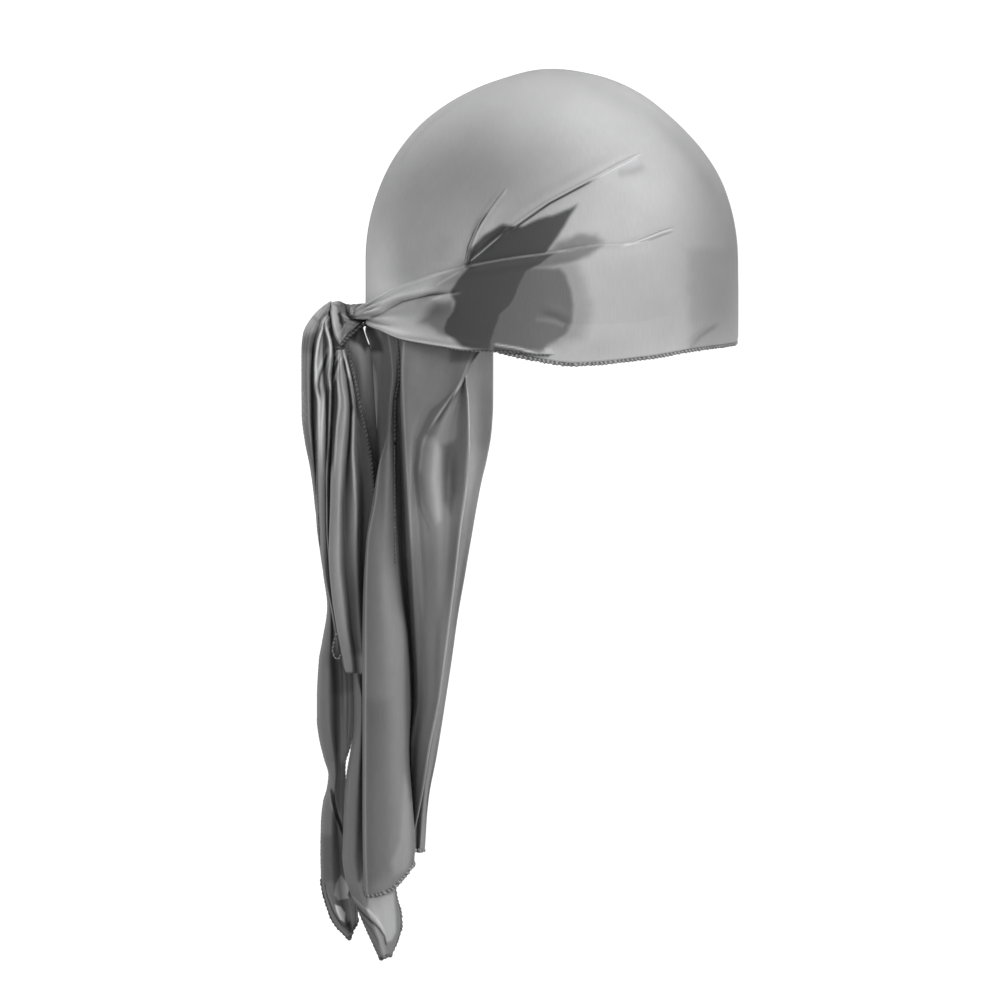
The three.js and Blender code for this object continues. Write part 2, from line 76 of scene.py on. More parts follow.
def pixel(p):
    """Pixel at which a point shows, or its mirror image where it lies on the far side."""
    return shown(np.stack([-np.abs(p[..., 0]), p[..., 1], p[..., 2]], -1))


def eased(knots, values, where):
    """Smooth curve through the values that doesn't overshoot them."""
    k, v, where = np.asarray(knots, float), np.asarray(values, float), np.asarray(where, float)
    if len(k) == 2:
        return np.interp(where, k, v)
    h = np.diff(k)
    d = np.diff(v) / h
    m = np.concatenate([[d[0]], np.zeros(len(k) - 2), [d[-1]]])
    for i in range(1, len(k) - 1):
        if d[i - 1] * d[i] > 0:
            a, b = 2 * h[i] + h[i - 1], h[i] + 2 * h[i - 1]
            m[i] = (a + b) / (a / d[i - 1] + b / d[i])
    i = np.clip(np.searchsorted(k, where) - 1, 0, len(k) - 2)
    s = np.clip((where - k[i]) / h[i], 0, 1)
    return ((1 + 2 * s) * (1 - s) ** 2 * v[i] + s * (1 - s) ** 2 * h[i] * m[i]
            + s * s * (3 - 2 * s) * v[i + 1] + s * s * (s - 1) * h[i] * m[i + 1])


def ramp(x, low, high):
    """0 below low and 1 above high, with a smooth rise between them."""
    s = np.clip((x - low) / (high - low), 0, 1)
    return s * s * (3 - 2 * s)


def curve_through(points, steps, closed=False):
    """Centripetal Catmull-Rom curves through rows of points, in a number of steps from each to the next."""
    p = np.asarray(points, float)
    if closed:
        p = np.concatenate([p[:, -1:], p, p[:, :2]], 1)
    else:
        p = np.concatenate([2 * p[:, :1] - p[:, 1:2], p, 2 * p[:, -1:] - p[:, -2:-1]], 1)
    pieces = []
    for k in range(p.shape[1] - 3):
        q = [p[:, k + i] for i in range(4)]
        t = [np.zeros(len(p))]
        for i in range(3):
            t.append(t[-1] + np.maximum(np.linalg.norm(q[i + 1] - q[i], axis=-1), 1e-6) ** 0.5)
        t = [x[:, None] for x in t]
        last = k == p.shape[1] - 4 and not closed
        for s in np.linspace(0, 1, steps + 1)[: steps + 1 if last else steps]:
            u = t[1] + (t[2] - t[1]) * s
            a = [((t[i + 1] - u) * q[i] + (u - t[i]) * q[i + 1]) / (t[i + 1] - t[i]) for i in range(3)]
            b = [((t[i + 2] - u) * a[i] + (u - t[i]) * a[i + 1]) / (t[i + 2] - t[i]) for i in range(2)]
            pieces.append(((t[2] - u) * b[0] + (u - t[1]) * b[1]) / (t[2] - t[1]))
    return np.stack(pieces, 1)


def hash_noise(p, size, seed=0):
    """Smooth noise from -1 to 1 that repeats on every run."""
    q = np.asarray(p, float) / size + 31.7 * seed
    cell = np.floor(q).astype(np.int64)
    s = q - cell
    s = s * s * (3 - 2 * s)
    total = 0
    for corner in range(8):
        o = np.array([(corner >> i) & 1 for i in range(3)])
        c = cell + o
        n = (c[..., 0] * 73856093) ^ (c[..., 1] * 19349663) ^ (c[..., 2] * 83492791)
        value = ((n * 2654435761) % 4294967296) / 2147483648.0 - 1
        w = np.prod(np.where(o == 1, s, 1 - s), -1)
        total = total + w * value
    return total


def normals(grid, closed=False):
    """Unit normals of a grid of points, across turned onto down."""
    if closed:
        across = np.roll(grid, -1, 1) - np.roll(grid, 1, 1)
    else:
        across = np.gradient(grid, axis=1)
    down = np.gradient(grid, axis=0)
    n = np.cross(across, down)
    return n / np.maximum(np.linalg.norm(n, axis=-1, keepdims=True), 1e-9)


# Materials

def mapped(nodes, links, source, ranges):
    """Socket of a node that takes a value from one range to another."""
    node = nodes.new("ShaderNodeMapRange")
    for name, value in zip(("From Min", "From Max", "To Min", "To Max"), ranges):
        node.inputs[name].default_value = value
    links.new(source, node.inputs["Value"])
    return node.outputs["Result"]


def combined(nodes, links, a, b, operation="MULTIPLY"):
    """Socket of a maths node, on sockets or plain numbers."""
    node = nodes.new("ShaderNodeMath")
    node.operation = operation
    for socket, value in zip(node.inputs, (a, b)):
        if isinstance(value, (int, float)):
            socket.default_value = value
        else:
            links.new(value, socket)
    return node.outputs[0]


def satin(name, roughness, sheen, thread_pitch, weave_depth):
    """Satin of fine yarns. Its tone, with painted light and shade, comes from the mesh; its weave from the
    cloth's own lengths.
    """
    material = bpy.data.materials.new(name)
    material.use_nodes = True
    nodes, links = material.node_tree.nodes, material.node_tree.links
    shader = nodes["Principled BSDF"]
    shader.inputs["Roughness"].default_value = roughness
    shader.inputs["Sheen Weight"].default_value = sheen
    shader.inputs["Sheen Roughness"].default_value = 0.35
    shader.inputs["Specular IOR Level"].default_value = 0.28
    # The tone attribute is the cloth's grey with painted light and painted shade in it.
    tone = nodes.new("ShaderNodeAttribute")
    tone.attribute_name = "tone"
    place = nodes.new("ShaderNodeUVMap")
    place.uv_map = "cloth"
    split = nodes.new("ShaderNodeSeparateXYZ")
    links.new(place.outputs["UV"], split.inputs[0])
    yarns = []
    for axis, pitch in (("X", thread_pitch), ("Y", thread_pitch * 0.8)):
        turn = combined(nodes, links, split.outputs[axis], 2 * math.pi / pitch)
        yarns.append(combined(nodes, links, turn, 0.0, "SINE"))
    weave = combined(nodes, links, yarns[0], yarns[1])
    slub = nodes.new("ShaderNodeTexNoise")
    slub.inputs["Scale"].default_value = 1
    slub.inputs["Detail"].default_value = 4
    stretch = nodes.new("ShaderNodeVectorMath")
    stretch.operation = "MULTIPLY"
    stretch.inputs[1].default_value = (1200, 150, 1)
    links.new(place.outputs["UV"], stretch.inputs[0])
    links.new(stretch.outputs[0], slub.inputs["Vector"])
    cloud = nodes.new("ShaderNodeTexNoise")
    cloud.inputs["Scale"].default_value = 38
    cloud.inputs["Detail"].default_value = 3
    geometry = nodes.new("ShaderNodeTexCoord")
    links.new(geometry.outputs["Object"], cloud.inputs["Vector"])
    light = mapped(nodes, links, weave, (-1, 1, 0.975, 1.025))
    unevenness = mapped(nodes, links, slub.outputs["Fac"], (0.3, 0.7, 0.965, 1.035))
    light = combined(nodes, links, light, unevenness)
    clouding = mapped(nodes, links, cloud.outputs["Fac"], (0.3, 0.7, 0.965, 1.035))
    light = combined(nodes, links, light, clouding)
    grey = combined(nodes, links, tone.outputs["Fac"], light)
    colour = nodes.new("ShaderNodeCombineColor")
    for channel, share in (("Red", 1.0), ("Green", 1.0), ("Blue", 1.012)):
        links.new(combined(nodes, links, grey, share), colour.inputs[channel])
    links.new(colour.outputs[0], shader.inputs["Base Color"])
    bump = nodes.new("ShaderNodeBump")
    bump.inputs["Distance"].default_value = weave_depth
    bump.inputs["Strength"].default_value = 0.6
    thickening = mapped(nodes, links, slub.outputs["Fac"], (0.2, 0.8, -0.6, 0.6))
    height = combined(nodes, links, weave, thickening, "ADD")
    links.new(height, bump.inputs["Height"])
    links.new(bump.outputs["Normal"], shader.inputs["Normal"])
    return material


cloth_material = satin("satin_cloth", roughness=0.5, sheen=0.10, thread_pitch=0.0007, weave_depth=0.00006)
thread_material = satin("overlock_thread", roughness=0.65, sheen=0.05, thread_pitch=0.0009,
                        weave_depth=0.0001)


# Meshes

def mesh_of(name, points, faces, uv, tone, material, cad_nodes):
    """A piece with its cloth lengths as UV and its tone as an attribute, in the place of its CAD nodes."""
    mesh = bpy.data.meshes.new(name)
    mesh.from_pydata((np.asarray(points) / 1000).tolist(), [], faces)
    layer = mesh.uv_layers.new(name="cloth")
    index = np.zeros(len(mesh.loops), np.int64)
    mesh.loops.foreach_get("vertex_index", index)
    layer.data.foreach_set("uv", (np.asarray(uv)[index] / 1000).astype(np.float32).ravel())
    # The tone carries the painted light and painted shade of the piece.
    shade = mesh.attributes.new("tone", "FLOAT", "POINT")
    shade.data.foreach_set("value", np.asarray(tone, np.float32))
    mesh.polygons.foreach_set("use_smooth", [True] * len(mesh.polygons))
    mesh.materials.append(material)
    mesh.update()
    piece = bpy.data.objects.new(name, mesh)
    bpy.context.scene.collection.objects.link(piece)
    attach(piece, "root")
    if cad_nodes:
        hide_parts(*cad_nodes)
    return piece


def grid_faces(rows, columns, closed=False):
    """Faces of a grid of points, closed where its last column meets its first."""
    faces = []
    for i in range(rows - 1):
        for j in range(columns if closed else columns - 1):
            k = (j + 1) % columns
            faces.append((i * columns + j, i * columns + k, (i + 1) * columns + k, (i + 1) * columns + j))
    return faces


def lengths(grid):
    """Lengths along the cloth from its first column and its first row."""
    across = np.linalg.norm(np.diff(grid, axis=1), axis=-1)
    down = np.linalg.norm(np.diff(grid, axis=0), axis=-1)
    u = np.concatenate([[0], np.cumsum(across.mean(0))])
    v = np.concatenate([[0], np.cumsum(down.mean(1))])
    return np.stack(np.meshgrid(u, v), -1).reshape(-1, 2)


def tube_faces(rows, sides):
    """Faces of a closed tube, with both of its ends."""
    faces = grid_faces(rows, sides, True)
    faces.append(tuple(range(sides))[::-1])
    faces.append(tuple((rows - 1) * sides + j for j in range(sides)))
    return faces


def cloth_piece(name, grid, tone, cad_nodes, thickness, closed=False):
    """A piece of satin over a grid of points, with a thickness in millimetres."""
    rows, columns = grid.shape[:2]
    piece = mesh_of(name, grid.reshape(-1, 3), grid_faces(rows, columns, closed), lengths(grid),
                    np.broadcast_to(tone, (rows, columns)).ravel(), cloth_material, cad_nodes)
    if thickness:
        wall = piece.modifiers.new("wall", "SOLIDIFY")
        wall.thickness = thickness / 1000
        wall.offset = 0
    return piece


def line_of(points, spacing):
    """Evenly spaced points along a polyline."""
    p = np.asarray(points, float)
    d = np.concatenate([[0], np.cumsum(np.linalg.norm(np.diff(p, axis=0), axis=1))])
    n = max(int(d[-1] / spacing), 2)
    s = np.linspace(0, d[-1], n + 1)
    return np.stack([np.interp(s, d, p[:, i]) for i in range(3)], 1)


def serging(name, points, radius, cad_nodes=(), pitch=2.3, tone=0.20):
    """Overlock stitching along an edge: a bundle of thread whose loops wind round it."""
    line = line_of(points, THREAD_SPACING)
    tangent = np.gradient(line, axis=0)
    tangent /= np.maximum(np.linalg.norm(tangent, axis=1, keepdims=True), 1e-9)
    side = np.cross(tangent, [1.0, 0.13, 0.21])
    side /= np.maximum(np.linalg.norm(side, axis=1, keepdims=True), 1e-9)
    up = np.cross(tangent, side)
    turn = np.arange(THREAD_SIDES) * 2 * math.pi / THREAD_SIDES
    along = np.arange(len(line))[:, None] * THREAD_SPACING
    slip = 1.6 * hash_noise(line, 3.5, 41)[:, None]
    loop = 0.5 + 0.5 * np.cos(2 * math.pi * along / pitch - turn[None] + slip)
    r = radius * (0.72 + 0.42 * loop ** 1.5) * (1 + 0.22 * hash_noise(line, 2.2, 42)[:, None])
    grid = (line[:, None] + side[:, None] * (r * np.cos(turn))[..., None]
            + up[:, None] * (r * np.sin(turn))[..., None])
    faces = tube_faces(len(line), THREAD_SIDES)
    # Painted shade between the thread's loops and painted light on their crests.
    shade = tone * (0.38 + 0.75 * loop ** 1.4) * (1 + 0.25 * hash_noise(line, 4.0, 43)[:, None])
    return mesh_of(name, grid.reshape(-1, 3), faces, lengths(grid), shade.ravel(), thread_material,
                   cad_nodes)


# Painted light and shade as strokes and patches in the picture's pixels, on the cloth's side and mirrored on
# the far one

def stroke(q, points):
    """Distance from a polyline, positive on its left as it runs, and the share of its length."""
    p = np.asarray(points, float)
    best = np.full(q.shape[:-1], 1e9)
    signed = np.zeros(q.shape[:-1])
    share = np.zeros(q.shape[:-1])
    d = np.concatenate([[0], np.cumsum(np.linalg.norm(np.diff(p, axis=0), axis=1))])
    for k in range(len(p) - 1):
        a, b = p[k], p[k + 1]
        ab = b - a
        t = np.clip(((q - a) @ ab) / (ab @ ab), 0, 1)
        near = a + t[..., None] * ab
        away = q - near
        dist = np.linalg.norm(away, axis=-1)
        side = np.sign(ab[1] * away[..., 0] - ab[0] * away[..., 1])
        take = dist < best
        best = np.where(take, dist, best)
        signed = np.where(take, dist * side, signed)
        share = np.where(take, (d[k] + t * (d[k + 1] - d[k])) / d[-1], share)
    return signed, share


def patch(q, corners, soft, wander=0.0):
    """1 inside a polygon and 0 outside, with a soft edge that may wander."""
    p = np.asarray(corners, float)
    if wander:
        at = np.concatenate([q, 0 * q[..., :1]], -1)
        shift = np.stack([hash_noise(at, 15, 21) + 0.5 * hash_noise(at, 6, 22),
                          hash_noise(at, 15, 23) + 0.5 * hash_noise(at, 6, 24)], -1)
        q = q + wander * shift
    inside = np.zeros(q.shape[:-1], bool)
    for a, b in zip(p, np.roll(p, -1, 0)):
        crosses = (a[1] > q[..., 1]) != (b[1] > q[..., 1])
        at = a[0] + (q[..., 1] - a[1]) * (b[0] - a[0]) / np.where(b[1] == a[1], 1e-9, b[1] - a[1])
        inside ^= crosses & (q[..., 0] < at)
    dist = np.abs(stroke(q, np.concatenate([p, p[:1]]))[0])
    return ramp(np.where(inside, dist, -dist), -soft, soft)


def glows(q, rows):
    """Broad soft painted light and shade: centre, half widths and gain."""
    gain = 1 + 0 * q[..., 0]
    for x, y, wide, tall, more in rows:
        gain = gain * (1 + more * np.exp(-((q[..., 0] - x) / wide) ** 2 - ((q[..., 1] - y) / tall) ** 2))
    return gain


def lines(q, rows):
    """Thin painted highlights and painted shade lines: polyline, half width and change of tone. They fade at
    their ends.
    """
    change = 0 * q[..., 0]
    for points, width, more in rows:
        d, share = stroke(q, points)
        change += more * np.exp(-(d / width) ** 2) * ramp(share, -0.02, 0.06) * ramp(1 - share, -0.02, 0.25)
    return change


def patched(q, rows, weight=1):
    """Painted light and shade from soft patches: corners, soft edge, wander and gain."""
    gain = 1 + 0 * q[..., 0]
    for corners, soft, wander, more in rows:
        gain = gain * (1 + weight * more * patch(q, corners, soft, wander))
    return gain


def pull(line, height, width, side=1, groove=0, fade_in=0.1, fade_out=0.4):
    """A fold: line, ridge height, width, the side its ridge is on, groove depth and fades at its ends."""
    return line, height, width, side, groove, fade_in, fade_out


def creases(q, pulls):
    """Height of folds. Each has a ridge beside its line and a groove on it."""
    lift = np.zeros(q.shape[:-1])
    for line, height, width, side, groove, fade_in, fade_out in pulls:
        d, share = stroke(q, line)
        ridge = height * np.exp(-((d * side - width) / width) ** 2)
        dip = groove * np.exp(-(d / (0.55 * width)) ** 2)
        lift += ramp(share, 0, fade_in) * ramp(1 - share, 0, fade_out) * (ridge - dip)
    return lift


# Head form, as in the CAD source

def form_point(around, up, lift):
    """Point over the head form: degrees round from the front, height, and distance from the form."""
    around, up, lift = np.broadcast_arrays(around, up, lift)
    level = np.maximum(0, up + DOME_RISE) / (DOME_RISE + lift)
    shrink = np.sqrt(np.maximum(0, 1 - level * level))
    turn = np.radians(around)
    fore = (HALF_LENGTH + lift) * shrink * np.cos(turn)
    out = (HALF_WIDTH + lift) * shrink * np.sin(turn) * (1 - EGG * np.cos(turn))
    return np.stack([-out, -fore, up + 0 * lift], -1)


HEM = np.array([(0, 1.0), (38, 1.022), (62, 1.056), (84, 1.077), (96, 1.057), (110, 1.022), (125, 0.992),
                (144, 0.962), (160, 0.932), (180, 0.915)])


def hem_up(around):
    """Height of the crown's lower edge."""
    from_front = np.abs((np.asarray(around, float) + 180) % 360 - 180)
    return -CROWN_DROP * eased(HEM[:, 0], HEM[:, 1], from_front)


def crown_point(around, down, lift):
    """Point of the crown: 0 down is its top, 1 its widest level and 2 its lower edge."""
    tilt = np.radians(90 * np.minimum(down, 1))
    flat = form_point(around, -DOME_RISE, lift)
    up = np.where(down <= 1, (DOME_RISE + lift) * np.cos(tilt) - DOME_RISE,
                  -DOME_RISE + (hem_up(around) + DOME_RISE) * (down - 1))
    return np.stack([flat[..., 0] * np.sin(tilt), flat[..., 1] * np.sin(tilt), up], -1)


# Crown

PULLS = [
    pull([(465, 267), (470, 245), (479, 223), (492, 203), (508, 180)], 1.3, 6,
         side=-1, fade_in=0.05, fade_out=0.6),
    pull([(505, 236), (517, 226), (549, 204), (579, 188), (614, 169), (649, 152)], 1.0, 7,
         fade_in=0.15, fade_out=0.3),
    pull([(618, 174), (632, 170), (647, 165)], 0.0, 11, groove=0.8, fade_in=0.3),
    pull([(622, 246), (645, 238), (660, 232), (678, 226)], 0.7, 5, fade_in=0.3, fade_out=0.25),
    pull([(683, 350), (697, 336), (716, 321)], 0.7, 5, groove=0.4, fade_in=0.3),
]

# Sharp creases: line, height of the lip beside it and its side, then the thin painted shade and highlight
# lines on it
CREASES = {
    "long": ([(508, 233), (517, 226), (533, 214.5), (549, 204), (564, 196), (579, 188), (597, 178.5),
              (614, 169), (632, 160), (649, 151.5)], 0.9, 1,
             [([(512, 230), (549, 204), (579, 188), (604, 175)], 1.1, -0.22),
              ([(512, 226.5), (549, 201), (579, 185), (600, 174.5)], 1.3, 0.05),
              ([(590, 181.5), (614, 168.5), (632, 159.5), (650, 151)], 1.2, 0.13)]),
    "root": ([(464.5, 268), (467, 257), (470, 245), (474.5, 233.5), (480, 222), (488.5, 209), (499, 195),
              (508, 184)], 0.9, -1,
             [([(465, 267), (468.5, 247), (474, 233), (481, 221), (490, 209)], 1.3, -0.25),
              ([(466.5, 267), (470.3, 247), (476, 234), (483, 222)], 0.8, 0.1),
              ([(462, 262), (465.5, 246), (471, 232)], 1.6, 0.03)]),
    "rib": ([(465, 266), (474, 258), (483, 251), (494, 241.5), (504.5, 232.5), (511, 227)], 0.8, 1,
            [([(465.5, 265.5), (474, 258), (483, 250.6), (504, 232.6)], 0.8, 0.17),
             ([(467, 266), (484, 253), (505, 235)], 1.0, -0.05)]),
    "front": ([(620, 247.5), (633, 243), (645, 238.5), (660, 232.5), (678, 226.5)], 0.6, 1,
              [([(622, 246.5), (648, 237.5), (662, 232), (679, 227)], 1.0, 0.12),
               ([(640, 243.5), (660, 236), (676, 230.5)], 1.8, -0.07)]),
}


# Painted shade on the crown's near side: a dark patch, a shaded lobe, and the front panel shaded where its
# cloth lies doubled.
PAINTED_SHADE_ON_CROWN = [
    (464, 268), (470, 250), (482, 236), (503, 224), (517, 227), (577, 205), (546, 254), (476, 266),
]
SHADED_LOBE_ON_CROWN = [(548, 253), (557, 240), (576, 234), (596, 236), (603, 242), (586, 250)]
FRONT_PANEL_SHADE = [(687, 249), (745, 247), (745, 352), (692, 356), (689, 320)]
# Painted light and shade over the crown: centre, half widths and gain.
PAINTED_LIGHT_AND_SHADE = [
    (560, 98, 120, 44, 0.32), (640, 175, 62, 60, 0.13), (490, 178, 110, 62, -0.36), (380, 275, 18, 55, 0.8),
    (740, 235, 66, 125, -0.5), (715, 310, 22, 34, -0.12), (600, 350, 40, 16, -0.14),
    (645, 300, 60, 55, -0.16), (400, 329, 26, 12, 0.6), (416, 289, 36, 10, 0.35), (436, 310, 16, 8, -0.3),
    (430, 240, 60, 40, 0.02), (690, 130, 60, 30, -0.06),
]
# Painted shade lines and painted highlights along the crown's creases and edges.
CROWN_LINES = [
    ([(618, 174), (632, 171), (647, 166)], 4.5, -0.07), ([(688, 349), (700, 336), (720, 322)], 2.2, -0.06),
    ([(442, 262), (441, 250), (450, 235)], 8, -0.025),
    ([(452, 109), (432, 123), (412, 144), (399, 166)], 1.7, -0.05),
    ([(446, 106), (425, 122), (404, 148), (391, 170)], 1.3, 0.07),
    ([(585, 84), (650, 113), (698, 162), (724, 218)], 9, -0.035),
    ([(512, 230), (549, 204), (579, 188), (604, 175)], 3.5, -0.03),
    ([(465, 266), (469, 246), (478, 223), (488, 211)], 3.5, -0.04),
]


# Painted shade on the strap and the crown about it: corners, soft edge, wander and depth of each patch.
PAINTED_SHADE_ON_STRAP = [
    (470, 262), (560, 250), (542, 266), (528, 273), (522, 285), (517, 297), (511, 307), (501, 316),
    (497, 330), (492, 345), (490, 356), (475, 354), (462, 348), (452, 340), (444, 333), (443, 327),
    (447, 319), (453, 311), (454, 303), (450, 296), (449, 289), (455, 280), (463, 272),
]
UPPER_SHADE_WING = [(420, 302), (430, 292), (444, 276), (460, 264), (474, 264), (458, 292), (440, 296)]
LOWER_SHADE_WING = [(418, 322), (428, 312), (434, 301), (452, 300), (460, 320), (450, 338), (432, 330)]
SOFT_SHADE_ON_STRAP = [
    (500, 268), (560, 268), (568, 276), (573, 290), (576, 305), (574, 321), (570, 331), (563, 338),
    (553, 345), (540, 353), (480, 356), (478, 300),
]
SHADE_HALO_ON_STRAP = [(540, 262), (578, 262), (588, 285), (590, 315), (583, 338), (560, 348), (530, 350)]
SHADE_BAND_ON_STRAP = [(530, 254), (602, 245), (590, 256), (570, 264), (530, 273)]
STRAP_SHADE_PATCHES = [
    (PAINTED_SHADE_ON_STRAP, 3.2, 1.5, 0.87), (UPPER_SHADE_WING, 7, 2, 0.45), (LOWER_SHADE_WING, 6, 2, 0.60),
    (SOFT_SHADE_ON_STRAP, 4.5, 1.6, 0.72), (SHADE_HALO_ON_STRAP, 8, 3, 0.32), (SHADE_BAND_ON_STRAP, 4, 1, 0.60)]
# Painted shadow under the strap's lower edge, and below it a place left out of the painted shade.
SHADOW_UNDER_STRAP = [
    (494, 347), (520, 351.5), (546, 360), (563, 366), (568, 369), (546, 367), (517, 362), (494, 356),
]
UNSHADED_BELOW = [(545, 348), (561, 350), (563, 364), (553, 361), (545, 358)]


def side_tone(grid, creased):
    """Tone of the cloth on the side of the head, for the crown and the straps on it, with painted light and
    shade.
    """
    q = pixel(grid)
    near = ramp(-grid[..., 0], -4, 8)
    side = ramp(np.abs(grid[..., 0]), 12, 32)
    tone = 0.305 * glows(q, PAINTED_LIGHT_AND_SHADE)
    tone *= 1 - 0.20 * ramp(np.abs(grid[..., 0]), 0, 58) * patch(q, FRONT_PANEL_SHADE, 7, 3)
    shade = 0.89 * patch(q, PAINTED_SHADE_ON_CROWN, 2.2, 1.0)
    for corners, soft, wander, depth in STRAP_SHADE_PATCHES:
        shade = np.maximum(shade, depth * patch(q, corners, soft, wander))
    shade = np.maximum(shade, 0.55 * patch(q, SHADED_LOBE_ON_CROWN, 5, 2))
    tone *= 1 - near * shade * (1 - 0.9 * patch(q, UNSHADED_BELOW, 1.5))
    tone *= 1 - 0.62 * patch(q, SHADOW_UNDER_STRAP, 1.3)
    return np.clip(tone + side * (0.35 + 0.65 * near) * lines(q, creased), 0.025, 0.95)


# Places where the dome is flatter than the head form: centre, half widths and depth
DENTS = [(485, 84, 60, 55, 1.3), (678, 120, 52, 55, 1.5), (555, 70, 50, 40, 0.6)]


def crown_lift(p):
    """Height of the crown's cloth over its smooth form."""
    q = pixel(p)
    near = ramp(np.abs(p[..., 0]), 6, 22)
    lift = near * creases(q, PULLS)
    top = np.exp(-(np.abs(p[..., 0]) / 55) ** 2)
    for x, y, wide, tall, depth in DENTS:
        lift -= top * depth * np.exp(-((q[..., 0] - x) / wide) ** 2 - ((q[..., 1] - y) / tall) ** 2)
    lift += 0.35 * hash_noise(p, 34, 1) + 0.12 * hash_noise(p, 11, 2)
    return lift


def spread(low, high, count, centre, width, more):
    """Values from low to high that lie closer together near a centre."""
    fine = np.linspace(low, high, 4000)
    weight = np.cumsum(1 + more * np.exp(-((fine - centre) / width) ** 2))
    return np.interp(np.linspace(weight[0], weight[-1], count), weight, fine)


turns = spread(0, 360, count=271, centre=106, width=38, more=2.4)[:-1]
downs = spread(0, 2, count=160, centre=0.95, width=0.38, more=1.6)
around, down = np.meshgrid(turns, downs)
bare = crown_point(around, down, CLOTH)
crown_grid = crown_point(around, down, CLOTH + crown_lift(bare) * ramp(down, 0.02, 0.2))
cloth_piece("crown_cloth", crown_grid, side_tone(crown_grid, CROWN_LINES), ["crown"], 1.0, closed=True)


def on_crown(q, lift):
    """Place on the near side of the crown that shows at a pixel."""
    out = 60 + 0 * q[..., 0]
    for _ in range(14):
        p = seen(q[..., 0], q[..., 1], out)
        level = np.clip((p[..., 2] + DOME_RISE) / (DOME_RISE + lift), 0, 0.999)
        shrink = np.sqrt(1 - level * level)
        c = np.clip(-p[..., 1] / ((HALF_LENGTH + lift) * shrink), -0.999, 0.999)
        out = (HALF_WIDTH + lift) * shrink * np.sqrt(1 - c * c) * (1 - EGG * c)
    return seen(q[..., 0], q[..., 1], out)


# Sharp lips of the creases, on the near side and mirrored on the far one
for label, (points, lip, side, marks) in CREASES.items():
    path = line_of(np.pad(np.array(points, float), ((0, 0), (0, 1))), 0.9)[:, :2]
    way = np.gradient(path, axis=0)
    way /= np.linalg.norm(way, axis=1, keepdims=True)
    reach = np.linspace(-6, 6, 49)
    at = path[:, None] + np.stack([way[:, 1], -way[:, 0]], 1)[:, None] * reach[None, :, None]
    share = np.linspace(0, 1, len(path))[:, None]
    ends = ramp(share, 0, 0.1) * ramp(1 - share, 0, 0.16)
    bare = on_crown(at, CLOTH)
    lift = CLOTH + crown_lift(bare) + 0.36 + 0.30 * ends * ramp(6 - np.abs(reach), 0, 3.5)[None]
    d = reach[None] * side
    lift = lift + lip * ends * (np.exp(-((d - 2.0) / 1.5) ** 2) - 0.35 * np.exp(-((d - 0.2) / 0.8) ** 2))
    strip = on_crown(at, lift)
    tone = side_tone(strip, CROWN_LINES + marks)
    cloth_piece("crown_crease_" + label, strip, tone, [], 0)
    cloth_piece(f"crown_crease_{label}_far", strip * MIRROR, side_tone(strip * MIRROR, CROWN_LINES), [], 0)

# Hem round the crown's front and sides
hem_turns = np.linspace(-107, 107, 500)
hem_line = form_point(hem_turns, hem_up(hem_turns) - 0.9, CLOTH * 0.6)
serging("crown_hem_stitching", hem_line, 1.15, ["crown_hem"], pitch=2.4)

# Centre seam over the top of the crown, from the forehead to the nape
seam_rows = []
for turn, rows in ((0.0, np.linspace(1.97, 0, 130)), (180.0, np.linspace(0, 1.93, 130)[1:])):
    bare = crown_point(turn, rows, CLOTH)
    seam_rows.append(crown_point(turn, rows, CLOTH + crown_lift(bare) * ramp(rows, 0.02, 0.2)))
seam_path = np.concatenate(seam_rows)
tangent = np.gradient(seam_path, axis=0)
lift_way = np.cross(tangent, [1.0, 0, 0])
lift_way /= np.linalg.norm(lift_way, axis=1, keepdims=True)
lift_way *= np.sign(np.sum(lift_way * (seam_path - [0, 0, -110]), 1, keepdims=True))
SEAM_HALF_WIDTH, STITCH_LINE = 3.4, 1.9
across = np.linspace(-SEAM_HALF_WIDTH, SEAM_HALF_WIDTH, 17)
rise = 0.75 * (1 - (np.abs(across) / SEAM_HALF_WIDTH) ** 4) - 0.15
rise -= 0.35 * np.exp(-((np.abs(across) - STITCH_LINE) / 0.45) ** 2)
seam_grid = (seam_path[:, None] + across[None, :, None] * np.array([1.0, 0, 0])
             + lift_way[:, None] * rise[None, :, None])
seam_grid[..., 2] -= (across ** 2 / 160.0)[None] * np.abs(lift_way[:, 2])[:, None]
seam_tone = 0.31 - 0.09 * np.exp(-((np.abs(across) - STITCH_LINE) / 0.6) ** 2)[None]
cloth_piece("crown_seam", seam_grid, seam_tone, [], 0.5)

# Straps

STRAP = np.array([
    (30, 0.640, 1.005), (42, 0.600, 1.02), (50, 0.583, 1.035), (63, 0.637, 1.045), (78, 0.645, 1.050),
    (92, 0.674, 1.047), (101, 0.688, 1.036), (109, 0.704, 1.034), (117, 0.723, 1.030), (126, 0.746, 1.017),
    (142, 0.794, 0.992), (155, 0.838, 0.958), (168.75, 0.875, 0.932)])

STRAP_FOLDS = [
    pull([(366, 322), (385, 312), (403, 301.5), (430, 295), (462, 291)], 1.5, 3.4,
         groove=1.3, fade_in=0.02, fade_out=0.35),
    pull([(368, 321), (378, 323.5), (392, 326)], 0.6, 2.4, side=-1, groove=1.0, fade_in=0.05, fade_out=0.6),
    pull([(380, 331), (405, 338), (450, 344), (500, 350)], 0.5, 3, fade_in=0.2),
    pull([(535, 312), (556, 318), (575, 330)], 0.5, 6, groove=0.5, fade_in=0.4),
    pull([(420, 280), (470, 268), (540, 256), (610, 246)], 0.5, 4, side=-1, fade_in=0.3, fade_out=0.3),
]

